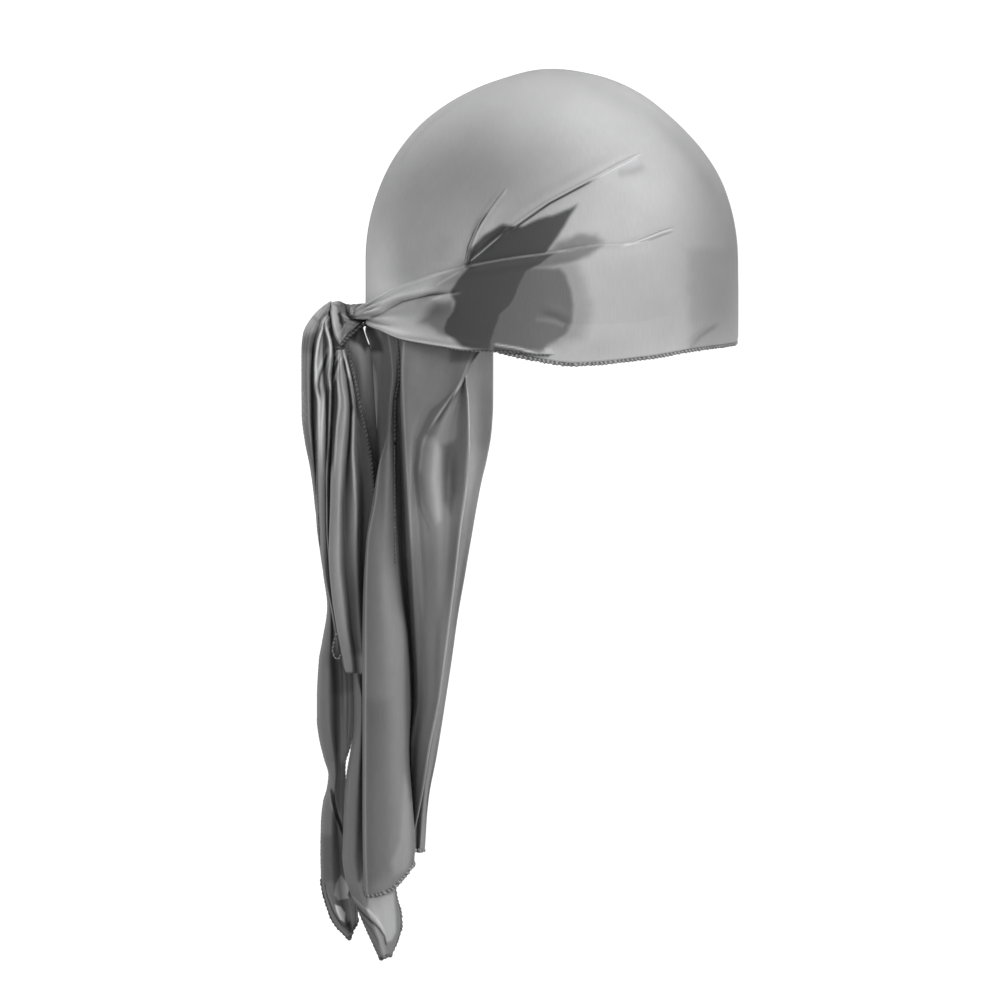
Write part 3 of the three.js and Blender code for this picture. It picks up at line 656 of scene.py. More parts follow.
# Painted shade lines (negative) and painted highlights (positive) along the straps' folds and edges.
STRAP_LINES = [
    ([(367, 321), (385, 312), (403, 301.5), (430, 295), (462, 292)], 1.4, -0.22),
    ([(372, 316), (388, 309), (405, 299), (432, 292.5)], 1.3, 0.05),
    ([(368, 321), (378, 323.5), (394, 326)], 1.2, -0.16),
    ([(366, 309), (380, 299), (402, 286.5), (440, 273.5), (466, 267)], 1.2, 0.14),
    ([(466, 266.5), (500, 260), (546, 253), (580, 249)], 1.0, 0.09),
    ([(437, 285), (452, 276), (463, 270)], 1.2, 0.09), ([(432, 300), (446, 295), (463, 292.5)], 1.4, 0.1),
    ([(535, 319), (556, 322), (576, 331)], 2.2, 0.03), ([(622, 246), (650, 238), (678, 228)], 1.3, 0.12),
    ([(400, 338.5), (424, 342), (449, 346.5), (473, 349), (490, 350)], 0.9, 0.1),
    ([(688, 349), (700, 336), (720, 322)], 2.2, -0.06),
    ([(494, 344), (520, 348.5), (546, 357.5)], 1.0, 0.24),
]


def hold(trim, piece):
    """Make a trim go with its piece, where it is."""
    trim.parent = piece
    trim.matrix_parent_inverse = piece.matrix_world.inverted()


def strap_grid(side):
    """Points of a strap, which sinks under the crown's cloth at its front and bunches toward the knot."""
    columns, rows = 256, 64
    turn = np.linspace(STRAP[0, 0], STRAP[-1, 0], columns)
    top = -CROWN_DROP * eased(STRAP[:, 0], STRAP[:, 1], turn)
    low = -CROWN_DROP * eased(STRAP[:, 0], STRAP[:, 2], turn)
    share = np.linspace(0, 1, rows)[:, None]
    up = top[None] + (low - top)[None] * share
    around = np.broadcast_to(turn[None], up.shape)
    bare = form_point(side * around, up, CLOTH)
    q = pixel(bare)
    sink = 1 - ramp(around, 40, 60)
    sink = np.maximum(sink, (1 - ramp(around, 52, 78)) * (1 - ramp(share, 0.0, 0.12)) * 0.75)
    sink = np.maximum(sink, (1 - ramp(around, 84, 97)) * ramp(share, 0.45, 0.97))
    lift = CLOTH + crown_lift(bare) * 0.8 + 1.15 - 2.1 * sink
    edge = np.exp(-(share / 0.035) ** 2) + 0.8 * np.exp(-((1 - share) / 0.03) ** 2)
    lift = lift + edge * 0.7 * (1 - sink)
    lift = lift + creases(q, STRAP_FOLDS) * (1 - sink)
    gather = ramp(around, 132, 168)
    pleat = np.cos(2 * math.pi * (share * 4.2 + 0.15))
    lift = lift + gather * (1.1 + 0.8 * pleat)
    return form_point(side * around, up, lift)


for side, name in ((1, "strap_right"), (-1, "strap_left")):
    grid = strap_grid(side)
    strap = cloth_piece(name + "_cloth", grid, side_tone(grid, STRAP_LINES), [name], 0.8)
    low_turns = np.linspace(91, 166, 260)
    low = -CROWN_DROP * eased(STRAP[:, 0], STRAP[:, 2], low_turns)
    low_lift = CLOTH + 1.6 + 1.2 * ramp(low_turns, 132, 168)
    edge = form_point(side * low_turns, low - 0.2, low_lift)
    trim = serging(name + "_edge_stitching", edge, 0.5, tone=0.14)
    hold(trim, strap)

# Hanging cloth. A fold line is a list of places down its length: pixel across, pixel down, and out.

CAPE = [
    [(466, 377, 62), (468.5, 400, 58), (469.7, 446, 51), (466.5, 490, 47.5), (461, 529, 45.5),
     (451.4, 613, 41.5), (440, 699, 37), (430.6, 745, 34), (423, 791, 31), (413, 838, 28)],
    [(463, 384, 57), (458, 410, 51), (453, 446, 44), (449, 480, 40), (449, 530, 41), (443, 613, 41.2),
     (436.5, 699, 36.6), (427.5, 745, 33), (421, 791, 29.5), (412.6, 842, 26)],
    [(454, 396, 61), (442, 424, 56.5), (435, 446, 54), (433, 480, 50), (438, 530, 44), (436, 613, 41.1),
     (432.5, 699, 36), (424, 745, 32), (419, 791, 28), (412.3, 845, 24)],
    [(451, 397.6, 59), (436.7, 418, 54), (426.4, 434, 50.5), (422, 446, 49), (419.5, 475, 46),
     (425, 530, 43), (429, 613, 41), (428.5, 699, 35.5), (421, 745, 31), (417, 791, 26.5), (412, 848, 22)],
    [(447, 395, 57.5), (431, 414, 53.5), (420.5, 430, 50.5), (416, 446, 48), (413.5, 480, 44.5),
     (418.5, 530, 42.4), (424, 613, 40.8), (425.5, 699, 35), (418, 745, 30), (415.5, 791, 25),
     (411.8, 850, 20)],
    [(428, 380, 58.5), (416, 410, 54.5), (411, 446, 51), (410.7, 490, 48), (415, 560, 43.7),
     (419.5, 613, 40.7), (422, 699, 34.5), (415, 745, 28.5), (413.8, 791, 23), (411.6, 852, 18)],
    [(403, 373, 52.5), (403.7, 402, 52), (406, 446, 50), (409, 500, 47.5), (412, 560, 43.5),
     (415, 613, 40), (418.5, 699, 33.5), (412, 745, 27), (412.3, 791, 21), (411.4, 854, 16)],
    [(400.5, 373, 42), (399.5, 402, 38), (400.5, 446, 33), (402, 500, 28), (404, 560, 25), (408, 613, 23),
     (413, 699, 20), (410, 745, 17), (411, 791, 15), (411.2, 857, 12)],
    [(398.5, 376, 42), (394.5, 402, 40), (394, 431, 38.5), (394, 500, 38), (394, 560, 38), (397, 600, 38),
     (404, 640, 38), (406, 700, 37.5), (405, 760, 36.5), (409, 800, 35.5), (413, 850, 34.5),
     (411, 868, 34)],
    [(396, 376, 42.5), (392, 402, 41.5), (389, 431, 41.5), (385.5, 500, 42.5), (381, 560, 43),
     (382, 600, 43), (385, 640, 43), (386, 700, 43), (386, 760, 42), (388, 800, 41), (391, 850, 40),
     (390, 890, 38)],
    [(393, 376, 39.5), (390.5, 402, 39), (388.5, 433, 38.5), (381.5, 461, 38), (376.5, 500, 37.5),
     (368.5, 545, 37), (366.3, 600, 37), (365.8, 640, 36.5), (365.8, 760, 36), (366, 850, 35.5),
     (367.5, 896, 35)],
    [(391, 376, 33), (389, 402, 31), (386, 431, 28), (379, 470, 24), (372, 520, 21), (367.5, 600, 19),
     (367, 700, 18), (367, 800, 17), (369, 880, 17)],
    [(385, 360, 24), (384, 376, 22), (383, 402, 20), (381.5, 431, 17), (382, 470, 16), (383, 520, 15),
     (383, 600, 15), (384, 700, 16), (386, 800, 16), (388, 872, 16)],
    [(366.2, 331, 5.5), (368, 337, 5), (370.4, 345, 4), (367, 353, 3), (369, 362, -1), (372, 376, -5),
     (374, 402, -9), (376, 431, -12), (378, 470, -14), (380, 520, -15), (384, 600, -12), (390, 640, -8),
     (398, 700, 0), (402, 800, 5), (404, 866, 6)],
    [(399, 376, -33), (402, 446, -31), (403, 520, -28), (404, 600, -26), (406, 700, -23), (408, 800, -20),
     (412.5, 851, -18)],
    [(416, 376, -51), (423, 446, -48), (426, 520, -45), (427, 600, -42), (425, 700, -38), (418, 800, -34),
     (417, 850.5, -31)],
    [(455, 376, -58), (456, 446, -46), (453, 520, -41), (447, 600, -38), (438, 700, -33), (424, 800, -29),
     (420, 850.5, -27)],
    [(477, 376, -63), (476, 446, -55), (466, 520, -48), (453, 613, -43), (441, 700, -37), (427, 800, -33),
     (422.5, 850, -30)],
    [(493.3, 402, -60), (491.7, 431, -57), (486.6, 461, -54), (482, 480, -52), (477, 505, -50),
     (471, 540, -47.5), (465.4, 573, -45), (458.4, 613, -43), (451.4, 662, -40), (445.7, 699, -38),
     (436, 760, -35), (428.7, 798, -33), (424.5, 850, -31)],
]

SHORT_TAIL = [
    [(335, 351, 9), (333, 391, 8), (331.5, 460, 7), (330, 520, 6), (330.5, 560, 6), (334, 600, 6),
     (338, 632, 6), (343, 660, 7)],
    [(337, 351, 12), (334.5, 391, 13), (332.5, 460, 13), (331, 520, 12), (330.6, 560, 12), (334, 600, 12),
     (338.5, 632, 11), (344, 664, 11)],
    [(339, 350, 16), (337.9, 380, 20), (339.5, 403, 22), (337, 432, 22.5), (334, 455, 22.5),
     (332.7, 472, 22), (331.3, 518, 21), (329.8, 559, 20), (333.5, 600, 19), (338.7, 631, 18),
     (343, 652, 17), (346.7, 672, 16)],
    [(340.5, 350, 16.5), (342, 380, 22), (345.5, 403, 24), (343.5, 432, 25), (341, 455, 25),
     (340, 472, 25), (338.5, 518, 24.5), (338, 559, 23.5), (342, 600, 22), (346, 631, 20.5),
     (350, 652, 19.5), (352, 672, 19)],
    [(342, 350, 15), (347, 378, 19.5), (350, 414, 19), (348.8, 449, 17), (346, 483, 16),
     (344.3, 506, 16.5), (345.5, 559, 18), (349, 600, 18), (352, 631, 17.5), (355, 652, 17.5),
     (357, 673, 17)],
    [(343, 350, 15.5), (349, 378, 20.5), (353.5, 414, 22), (352.7, 449, 22.5), (354.5, 483, 22),
     (356, 518, 21), (356, 559, 20.5), (358, 600, 19.5), (360, 631, 19), (362, 652, 18.5), (363, 673, 18)],
    [(345, 348, 13.5), (352, 378, 18), (357.5, 420, 17), (359.5, 455, 14.5), (363, 500, 12.5),
     (363, 559, 12), (364, 600, 12), (366, 640, 12), (368, 672, 12)],
    [(347.5, 346, 13), (351.2, 362, 18), (354.8, 378, 20.5), (359.5, 403, 21), (364.5, 426, 19.5),
     (371, 458, 16), (374, 500, 13), (373, 559, 11), (372, 600, 10), (371, 640, 9), (372, 670, 9)],
]

SHORT_TAIL_BACK = [
    [(341, 343.5, 8), (338, 360, 6), (337, 380, 3), (338, 440, 2), (342, 500, 2), (345, 560, 3),
     (347, 600, 3), (350, 640, 4), (352, 664, 4)],
    [(350, 333.5, 9), (353, 352, 9), (356, 380, 8), (358, 420, 7), (360, 460, 6), (362, 500, 6),
     (362, 560, 5.5), (363, 600, 5), (364, 640, 5), (365, 667, 5)],
    [(356.5, 326, 9.5), (359, 340, 10), (361, 352, 10.5), (363, 380, 10), (366, 420, 8), (369, 460, 7),
     (371, 500, 7), (371, 560, 6), (370, 600, 6), (369, 640, 6), (369, 668, 6)],
    [(362.3, 320.5, 9.5), (363.2, 328, 10), (365.4, 335, 10), (368.3, 343, 10), (370.5, 349, 10),
     (373, 380, 9), (376, 420, 7), (379, 460, 5), (379, 500, 4), (377, 560, 4), (375, 600, 4),
     (374, 640, 4), (373, 668, 4)],
]

LONG_TAIL = [
    [(331, 301.5, -3), (324, 306, -5), (312, 318, -6), (303.5, 334, -7), (302, 350, -7), (302, 380, -7),
     (302.3, 414, -6), (305.7, 443, -5), (310.3, 466, -5), (313.8, 490, -5), (315.5, 506, -5),
     (320, 537, -6), (324, 575, -7), (327.8, 606, -8), (323, 640, -9), (319.5, 660, -9), (317.5, 700, -9),
     (317.5, 720, -8), (320, 740, -7), (325, 760, -6), (329, 775, -5), (327, 790, -5), (324, 800, -6),
     (321.6, 820, -7), (321, 850, -8), (321.6, 880, -8), (327, 905, -8), (334, 922, -8), (349, 939, -7)],
    [(332, 302.5, 4), (325, 307.5, 5), (314, 320, 6), (305.5, 336, 6.5), (304, 352, 6.5), (304, 380, 6),
     (304.5, 414, 6), (307.5, 443, 5.5), (311.8, 466, 4), (314.8, 490, 3), (316.5, 506, 2),
     (320.7, 537, 0), (325, 575, -2), (328.8, 610, -3), (325, 640, -2), (322, 660, -1), (321, 700, 0),
     (321.5, 720, 0), (324, 740, 0), (328, 760, 0), (331, 775, 1), (330, 790, 1), (327.5, 800, 1),
     (325.5, 820, 0), (325, 850, -1), (326, 880, -2), (330.5, 905, -3), (336.5, 922, -4), (349.5, 938, -5)],
    [(330, 305, 9), (325, 310, 11), (318, 320, 12), (310.5, 337, 12), (308.5, 352, 12), (308, 380, 11),
     (308.5, 414, 9.5), (311, 443, 8), (313.8, 466, 6), (316, 490, 4.5), (317.8, 506, 3), (321.3, 537, 1),
     (326, 575, 0), (330.5, 613, 0), (330, 640, 2), (328.5, 660, 3), (328, 700, 4), (328.5, 720, 4),
     (331, 740, 3.5), (334, 760, 3), (335, 775, 4), (334, 790, 4), (332, 806, 3), (331, 826, 2),
     (331, 850, 1), (332, 880, 0), (336, 905, -1), (341, 922, -2), (350, 937, -4)],
    [(329, 311, 9), (322, 319, 8), (315.5, 337, 6), (313.5, 352, 4), (312.5, 380, 3), (313, 414, 2),
     (314.5, 449, 1), (315.3, 483, 0), (317.3, 523, -1), (321.8, 560, -3), (331.5, 613, -4),
     (333.5, 640, -1), (334, 660, 1), (334.5, 700, 2), (335.5, 740, 1), (336.5, 760, 1), (336, 780, 3),
     (333, 800, 3), (336, 820, -1), (338, 850, -2), (339, 880, -3), (342, 905, -3), (346, 920, -4),
     (351, 935, -4)],
    [(327.5, 314, 8), (323, 321, 9), (321.5, 328, 10.5), (317, 345, 12), (315, 375, 12),
     (318.5, 403, 12.5), (319, 449, 12), (320, 495, 10.5), (321.8, 540, 8), (325, 575, 6), (332.5, 613, 2),
     (337, 640, 0), (339, 660, -1), (340, 700, -2), (341.5, 740, -2), (341, 770, -2), (340.5, 800, -3),
     (342, 830, -3), (345, 860, -5), (347, 885, -6), (350, 908, -6), (352.5, 930, -5)],
    [(328.5, 315, 8), (323.8, 322, 9), (323, 335, 8), (321.5, 350, 8.5), (321.5, 380, 10.5),
     (323.5, 403, 12), (324.3, 449, 12), (324.5, 495, 10.5), (325.2, 540, 8), (328, 575, 4),
     (333.5, 613, 0), (339, 640, -3), (342, 660, -4), (343.5, 700, -5), (345.5, 740, -5), (345, 770, -5),
     (344, 800, -6), (345.5, 830, -7), (348.5, 860, -8), (351, 885, -8), (353.5, 908, -8), (354, 928, -7)],
    [(329, 316, 8), (324.5, 322.5, 9), (324.5, 335, 7.5), (325, 350, 6), (326, 380, 6), (327.2, 403, 6.5),
     (327.3, 449, 6.5), (326.4, 495, 5.5), (326.6, 540, 4), (329, 575, 1), (334, 613, -2),
     (341, 640, -4.5), (344.5, 660, -5.5), (347, 700, -6.5), (346.5, 740, -6.5), (343.4, 768, -6.5),
     (344, 800, -7.5), (347, 830, -8.5), (350, 860, -9), (352.7, 885, -9), (355, 908, -9),
     (355, 926.5, -8)],
    [(330, 317, 8.5), (326, 323, 10), (327, 330, 12), (330, 341, 13.5), (331, 352, 14), (329, 375, 14),
     (330.5, 389, 14), (329, 437, 13.5), (326.6, 483, 12.5), (327, 529, 10), (329.5, 560, 6),
     (334.5, 613, 0), (342.5, 640, -5), (347, 660, -7), (349, 700, -8), (347, 740, -8), (343, 768, -8),
     (344, 800, -9), (348.5, 830, -10), (351.5, 860, -10), (354.5, 885, -10), (356.5, 905, -10),
     (356, 925, -9)],
    [(329.5, 317, 6), (331, 326, 7), (332, 340, 8), (334, 352, 7), (333.5, 380, 6), (333, 403, 5),
     (332, 449, 4), (331, 500, 3), (332, 560, -1), (337, 613, -5), (348, 640, -9), (353, 680, -11),
     (353, 715, -11), (349, 745, -11), (344.5, 765, -11), (346, 790, -12), (351, 850, -12),
     (356, 890, -12), (357.5, 921, -11)],
    [(332, 317, 2), (334, 330, 1.5), (336, 345, 1), (338, 380, 0), (338, 449, -2), (336, 520, -3),
     (337, 600, -8), (350, 640, -13), (356, 680, -14), (355, 715, -14), (350, 745, -14), (344.5, 765, -14),
     (345, 790, -15), (350, 850, -15), (355, 890, -15), (357, 918, -14)],
]

INNER_LOBE = [
    [(335, 560, -6), (341, 600, -6), (349, 640, -4), (354, 680, 0), (355, 720, 3), (351.5, 748, 4),
     (347.5, 772, 5), (345.5, 791, 6), (344.6, 809, 7), (343.6, 841, 8), (343, 856, 8), (345.5, 876, 8),
     (351, 893, 8), (360, 913, 8), (369.5, 935, 8), (380.5, 959, 8)],
    [(336, 560, -3), (343, 600, -2), (350, 640, 1), (356, 680, 6), (357, 720, 9), (354, 752, 11),
     (351.5, 772, 12), (350, 791, 13), (349, 809, 14), (348, 841, 14), (348, 856, 14), (350, 876, 13.5),
     (355, 893, 13), (364.5, 913, 12), (373, 935, 11), (382, 958, 9)],
    [(337, 560, -2), (345, 600, 0), (352, 640, 3), (357, 672, 7), (361.5, 700, 10), (360, 752, 13),
     (358.5, 780, 14), (357, 820, 15), (356, 856, 15), (358, 880, 15), (363, 900, 14.5), (371, 918, 14),
     (378, 936, 12), (384, 957, 9.5)],
    [(338, 560, -4), (346, 600, -2), (353, 640, 0), (358, 680, 3), (359.5, 720, 4), (361, 760, 4),
     (363, 800, 5), (364, 850, 6), (367, 890, 7), (373, 908, 7), (380, 926, 7), (385.5, 945, 7),
     (386, 956, 8)],
    [(340, 560, -7), (349, 600, -7), (358, 640, -7), (365, 680, -6), (370, 720, -5), (374, 760, -4),
     (377, 800, -3), (379, 850, -1), (381, 890, 2), (384, 905, 4), (387, 920, 5), (389, 940, 6),
     (387.5, 955.5, 7)],
    [(341, 560, -10), (352, 600, -11), (363, 640, -12), (371, 680, -12), (377, 720, -12), (382, 760, -11),
     (386, 800, -10), (389, 850, -8), (391, 880, -5), (393, 895, -3), (395.5, 910, -1), (396, 930, 1),
     (389, 955, 5)],
    [(342, 560, -13), (354, 600, -15), (366, 640, -16), (375, 680, -17), (382, 720, -17), (388, 760, -16),
     (391.5, 800, -14), (393, 850, -11), (394, 880, -9), (395.5, 895, -7), (400, 912, -5), (401, 924, -4),
     (398.5, 936, -2), (390.3, 955, 3)],
]


def tracks_of(folds, share):
    """Points along each fold line, at the shares of its height."""
    tracks = []
    for fold in folds:
        f = np.array(fold, float)
        py = f[0, 1] + (f[-1, 1] - f[0, 1]) * share
        tracks.append(seen(eased(f[:, 1], f[:, 0], py), py, eased(f[:, 1], f[:, 2], py)))
    return np.stack(tracks, 1)


def hang(folds, rows, steps, low=0.0):
    """Cloth lofted across its fold lines, with closer rows toward its lower end."""
    return curve_through(tracks_of(folds, spread(0, 1, rows, centre=1.0, width=0.14, more=low)), steps)


def sewn_to_crown(folds, turns):
    """Fold lines with a first place added just inside the crown's edge, each at its own turn."""
    sewn = []
    for fold, turn in zip(folds, turns):
        top = form_point(float(turn), hem_up(float(turn)) + 2.5, -0.3)
        sewn.append([(*shown(top), -top[0]), *fold])
    return sewn


def row_at(grid, py):
    """Row of the cloth at a height in the picture."""
    return int(np.argmin(np.abs(pixel(grid[:, 0])[:, 1] - py)))


def between(grid, high, low):
    """Rows of the cloth between two heights in the picture."""
    return grid[row_at(grid, high):row_at(grid, low)]


def fold_tone(grid, steps, bases, bright):
    """Tone of each fold with painted light and shade, blended across, and thin painted lines on pinched
    folds: fold, gain, half width in mm.
    """
    columns = grid.shape[1]
    tone = np.interp(np.arange(columns) / steps, np.arange(len(bases)), bases)[None].repeat(len(grid), 0)
    gaps = np.linalg.norm(np.diff(grid, axis=1), axis=-1)
    run = np.concatenate([np.zeros((len(grid), 1)), np.cumsum(gaps, 1)], 1)
    for fold, gain, width in bright:
        tone = tone + gain * np.exp(-((run - run[:, fold * steps:fold * steps + 1]) / width) ** 2)
    return tone


def rippled(grid, size, depth, seed, top_share=0.0, bunches=0, bunch_depth=0.0):
    """Fine drawn wrinkles, longer down the cloth than across, and gathers that fade down from the top."""
    n = normals(grid)
    stretched = grid * np.array([1, 1, 0.16])
    wave = depth * hash_noise(stretched, size, seed)
    rows, columns = grid.shape[:2]
    if bunches:
        across = np.linspace(0, 2 * math.pi * bunches, columns)[None]
        down = np.linspace(0, 1, rows)[:, None]
        across = across + 3 * hash_noise(stretched, size * 3, seed + 5)
        wave = wave + bunch_depth * np.cos(across) * (1 - ramp(down, 0, top_share))
    edge = ramp(np.linspace(0, 1, columns), 0, 0.04) * ramp(1 - np.linspace(0, 1, columns), 0, 0.04)
    return grid + n * (wave * edge[None])[..., None]


def hanging_piece(name, grid, tone, cad_node, hems):
    """Hanging cloth with its stitched edges: label, line, radius and tone of each."""
    piece = cloth_piece(name, grid, np.clip(tone, 0.02, 0.9), [cad_node], 0.7)
    trims = [serging(f"{name}_{label}", line, radius, tone=shade) for label, line, radius, shade in hems]
    for trim in trims:
        hold(trim, piece)


def on_near(grid):
    """1 on the near side and 0 on the far one."""
    return ramp(-grid[..., 0], -3, 3)


CAPE_TURNS = [
    111, 112.5, 114, 116, 119, 129, 143, 145.5, 148, 151, 154, 160, 168, 184, 200, 216, 232, 243, 251,
]
# Painted highlights (positive) on the pleats' ridges and painted shade (negative) in their grooves, on both
# tails.
PLEATS = [
    ([(323.6, 327), (321, 333), (318.8, 341), (317, 351), (315.5, 360), (315.7, 368.6), (316.4, 374.3),
      (315.5, 381), (315.5, 387), (317, 393), (318.7, 398), (319.3, 404.3), (319.1, 415), (319.4, 426),
      (319.8, 439), (319.8, 470)], 0.8, 0.22),
    ([(325.5, 325.5), (326.8, 329.5), (328.6, 336), (330.2, 342), (330.6, 349), (330.2, 354), (329.4, 358),
      (327.6, 365), (326.2, 372), (325, 383), (323.9, 393.6), (323.1, 403), (322.6, 411.4), (321.9, 422),
      (321.6, 439), (321.6, 480)], 0.85, 0.24),
    ([(329.4, 349), (325.5, 353.6), (322.3, 358.6), (319.8, 365), (318, 370), (316.6, 374.3)], 0.75, 0.2),
    ([(341, 347), (337, 352.5), (333.7, 358), (331.6, 363.6), (330.7, 372), (330.3, 380), (330.4, 387),
      (332, 391.5), (332.1, 400.7), (331.6, 408), (331.2, 422), (330.3, 439), (329.5, 480)], 0.8, 0.18),
    ([(340.1, 354.3), (337.3, 358.6), (334.8, 363), (333.4, 367)], 0.7, 0.15),
    ([(341.2, 357), (339.4, 366.4), (337, 373.6), (334.8, 381.4), (333, 388.6)], 0.8, 0.18),
    ([(337.3, 375), (338.4, 383), (339.1, 390), (340, 399), (339.8, 408), (338.7, 417), (337.6, 426),
      (336.9, 439), (334.5, 480)], 0.9, 0.2),
    ([(341.6, 348.5), (343.7, 354.3), (345.5, 360), (347.3, 367), (349, 373.6), (350.9, 381),
      (352.6, 388.6), (354.4, 397), (356.2, 406.4), (357.3, 415), (359.1, 424), (362, 432)], 0.8, 0.2),
    ([(349.4, 342.9), (352.3, 348), (353.7, 354.3), (355.1, 360), (358, 367)], 0.9, 0.18),
    ([(349.4, 355), (351.2, 366.4), (354.1, 373.6), (356.6, 382)], 0.9, 0.08),
    ([(312.8, 346), (312.6, 361.4), (313.4, 376), (314, 388), (316.6, 402), (316.9, 418), (316.9, 440)],
     1.3, -0.12),
    ([(321.5, 334), (320.5, 341), (319, 349), (318, 358)], 1.0, -0.12),
    ([(324, 331), (326.3, 336), (328, 343), (327, 349)], 1.0, -0.12),
    ([(327.8, 354), (325.5, 360), (322.5, 368), (319.5, 376), (318.3, 385), (320, 395), (321, 402)], 1.2,
     -0.3),
    ([(329, 327), (331, 335), (334.5, 343.5), (337.5, 348.5)], 1.6, -0.4),
    ([(332.6, 341), (333.6, 347), (333, 354)], 1.5, -0.3),
    ([(336, 356), (333.6, 364), (332.8, 374), (332.8, 383)], 0.9, -0.25),
    ([(338.4, 360), (336.4, 367), (334, 376)], 0.9, -0.25),
    ([(328.9, 385), (329, 397), (328.6, 412), (328, 438), (327, 470)], 0.9, -0.2),
    ([(336, 379), (336, 390), (336.2, 402), (335.4, 415), (334.2, 438), (331.8, 475)], 1.5, -0.35),
    ([(343.4, 358), (345.6, 370), (349, 382), (351, 396), (352.4, 408), (350.9, 419), (350.4, 439),
      (349.5, 460)], 1.2, -0.3),
    ([(348, 344), (350, 350), (351.5, 357)], 0.9, -0.2),
    ([(347.6, 356), (349.6, 365), (352.2, 376), (355, 388)], 0.8, -0.15),
]
# Tone of each of the cape's folds: its grey with painted light and shade.
CAPE_TONES = [0.17, 0.15, 0.16, 0.15, 0.125, 0.13, 0.16, 0.11, 0.12, 0.145, 0.15, 0.14, 0.18, 0.20, 0.16,
              0.13, 0.16, 0.17, 0.17]
# Painted shadow of the knot on the cape.
SHADOW_UNDER_KNOT = [(364, 318), (371, 320), (376, 330), (382, 342), (384, 352), (372, 352), (366, 340)]
# Painted highlights and painted shade lines on the cape.
CAPE_LINES = [
    ([(486, 353), (466, 376.5), (451, 397.6), (436.7, 418), (427, 434)], 1.2, 0.2),
    ([(427, 434), (422.5, 446), (420, 475)], 1.6, 0.08),
    ([(467, 377), (469.2, 417), (469.2, 446), (466, 490), (460.5, 529), (456, 571), (450.8, 613),
      (439.5, 699), (430, 745), (422.5, 791), (414, 835)], 1.1, 0.17),
    ([(463, 383), (447, 407), (434, 428)], 2.0, -0.07),
    ([(400, 350), (397, 376), (394.5, 402), (395, 450), (395, 520)], 1.6, -0.07),
]

# Painted light and shade. Patches are corners, soft edge, wander and gain. Lines are points, half width and
# change of tone.
CAPE_PATCHES = [
    ([(366, 700), (390, 700), (390, 870), (366, 890)], 8, 0, -0.2),
    ([(404, 775), (413, 800), (415, 850), (408, 869), (394, 876), (391, 862), (400, 840)], 3, 0, 0.35),
    ([(424, 440), (434, 436), (440, 450), (441, 520), (436, 524), (427, 500), (423, 470)], 3.5, 0, 0.5),
    ([(442, 445), (456, 440), (457, 490), (451, 515), (443, 500)], 4, 0, -0.48),
    ([(468, 378), (440, 412), (424, 440), (419, 470), (422, 510), (430, 530), (418, 505), (413, 470),
      (416, 440), (430, 410)], 2, 0, -0.35),
    ([(450, 345), (490, 350), (484, 356), (466, 362), (450, 362)], 3, 0, -0.45),
    ([(404, 560), (409, 560), (419, 640), (423, 700), (418, 760), (413, 800), (409, 800), (404, 700)], 3.5,
     0, -0.45),
]
CAPE_STEPS, SHORT_STEPS, LONG_STEPS = 10, 12, 10
cape_grid = hang(sewn_to_crown(CAPE, CAPE_TURNS), rows=190, steps=CAPE_STEPS)
cape_grid = rippled(cape_grid, size=7, depth=0.35, seed=3)
q = pixel(cape_grid)
near = on_near(cape_grid)
tone = fold_tone(cape_grid, CAPE_STEPS, CAPE_TONES, [(6, 0.14, 0.8), (10, 0.16, 0.8)])
# Painted shade on the near half's lower part, right of its strip.
tone *= 1 - near * 0.32 * ramp(q[..., 1], 510, 570) * ramp(q[..., 0], 407, 414)
tone *= patched(q, CAPE_PATCHES, near)
# Painted shade behind the strip's edge, fading out below.
shade_behind_strip = ramp(q[..., 0], 378, 384) * (1 - ramp(q[..., 0], 394, 398))
tone *= 1 - near * 0.28 * (1 - ramp(q[..., 1], 540, 590)) * shade_behind_strip
# Painted light on the far half's inner face, near the top.
tone *= 1 + 2.4 * (1 - near) * (1 - ramp(q[..., 1], 400, 560)) * ramp(q[..., 0], 440, 466)
# Painted shadow of the knot.
tone *= 1 - 0.75 * patch(q, SHADOW_UNDER_KNOT, 2.5)
tone += near * lines(q, CAPE_LINES)
strip = cape_grid[:, 8 * CAPE_STEPS]
hanging_piece("cape_cloth", cape_grid, tone, "cape",
              [("hem", cape_grid[-1], 1.25, 0.20),
               ("strip_edge", strip[4:42] + [-0.7, -0.5, 0], 0.75, 0.09),
               ("strip_edge_low", strip[42:84] + [-0.5, -0.4, 0], 0.42, 0.12)])

THREAD_LOOP = [(338.5, 630, 13), (334.5, 640, 12), (332.5, 650, 11), (334.5, 657.5, 11), (338.5, 659, 12),
               (342, 653, 14), (342, 643, 15), (340, 632, 14)]
short_grid = rippled(hang(SHORT_TAIL, rows=190, steps=SHORT_STEPS), size=4, depth=0.3, seed=4,
                     top_share=0.3, bunches=9, bunch_depth=0.3)
q = pixel(short_grid)
# Fold tones of the short tail with painted light and shade, and painted pleat lines.
tone = fold_tone(short_grid, SHORT_STEPS, [0.10, 0.07, 0.22, 0.24, 0.05, 0.25, 0.10, 0.10],
                 [(2, 0.08, 0.7), (5, 0.05, 0.8)])
tone += lines(q, PLEATS)
# Painted shade over the tail's lower right part.
tone *= 1 - 0.45 * ramp(q[..., 1], 540, 600) * ramp(q[..., 0], 346, 356) * (1 - ramp(q[..., 1], 650, 660))
thread_loop = seen(*zip(*THREAD_LOOP))
hanging_piece("short_tail_cloth", short_grid, tone, "short_tail",
              [("left_edge", short_grid[30:, 0], 0.7, 0.12),
               ("right_edge", short_grid[:140, -1], 0.85, 0.12),
               ("hem", short_grid[-1], 0.6, 0.2), ("loop", thread_loop, 0.55, 0.24)])

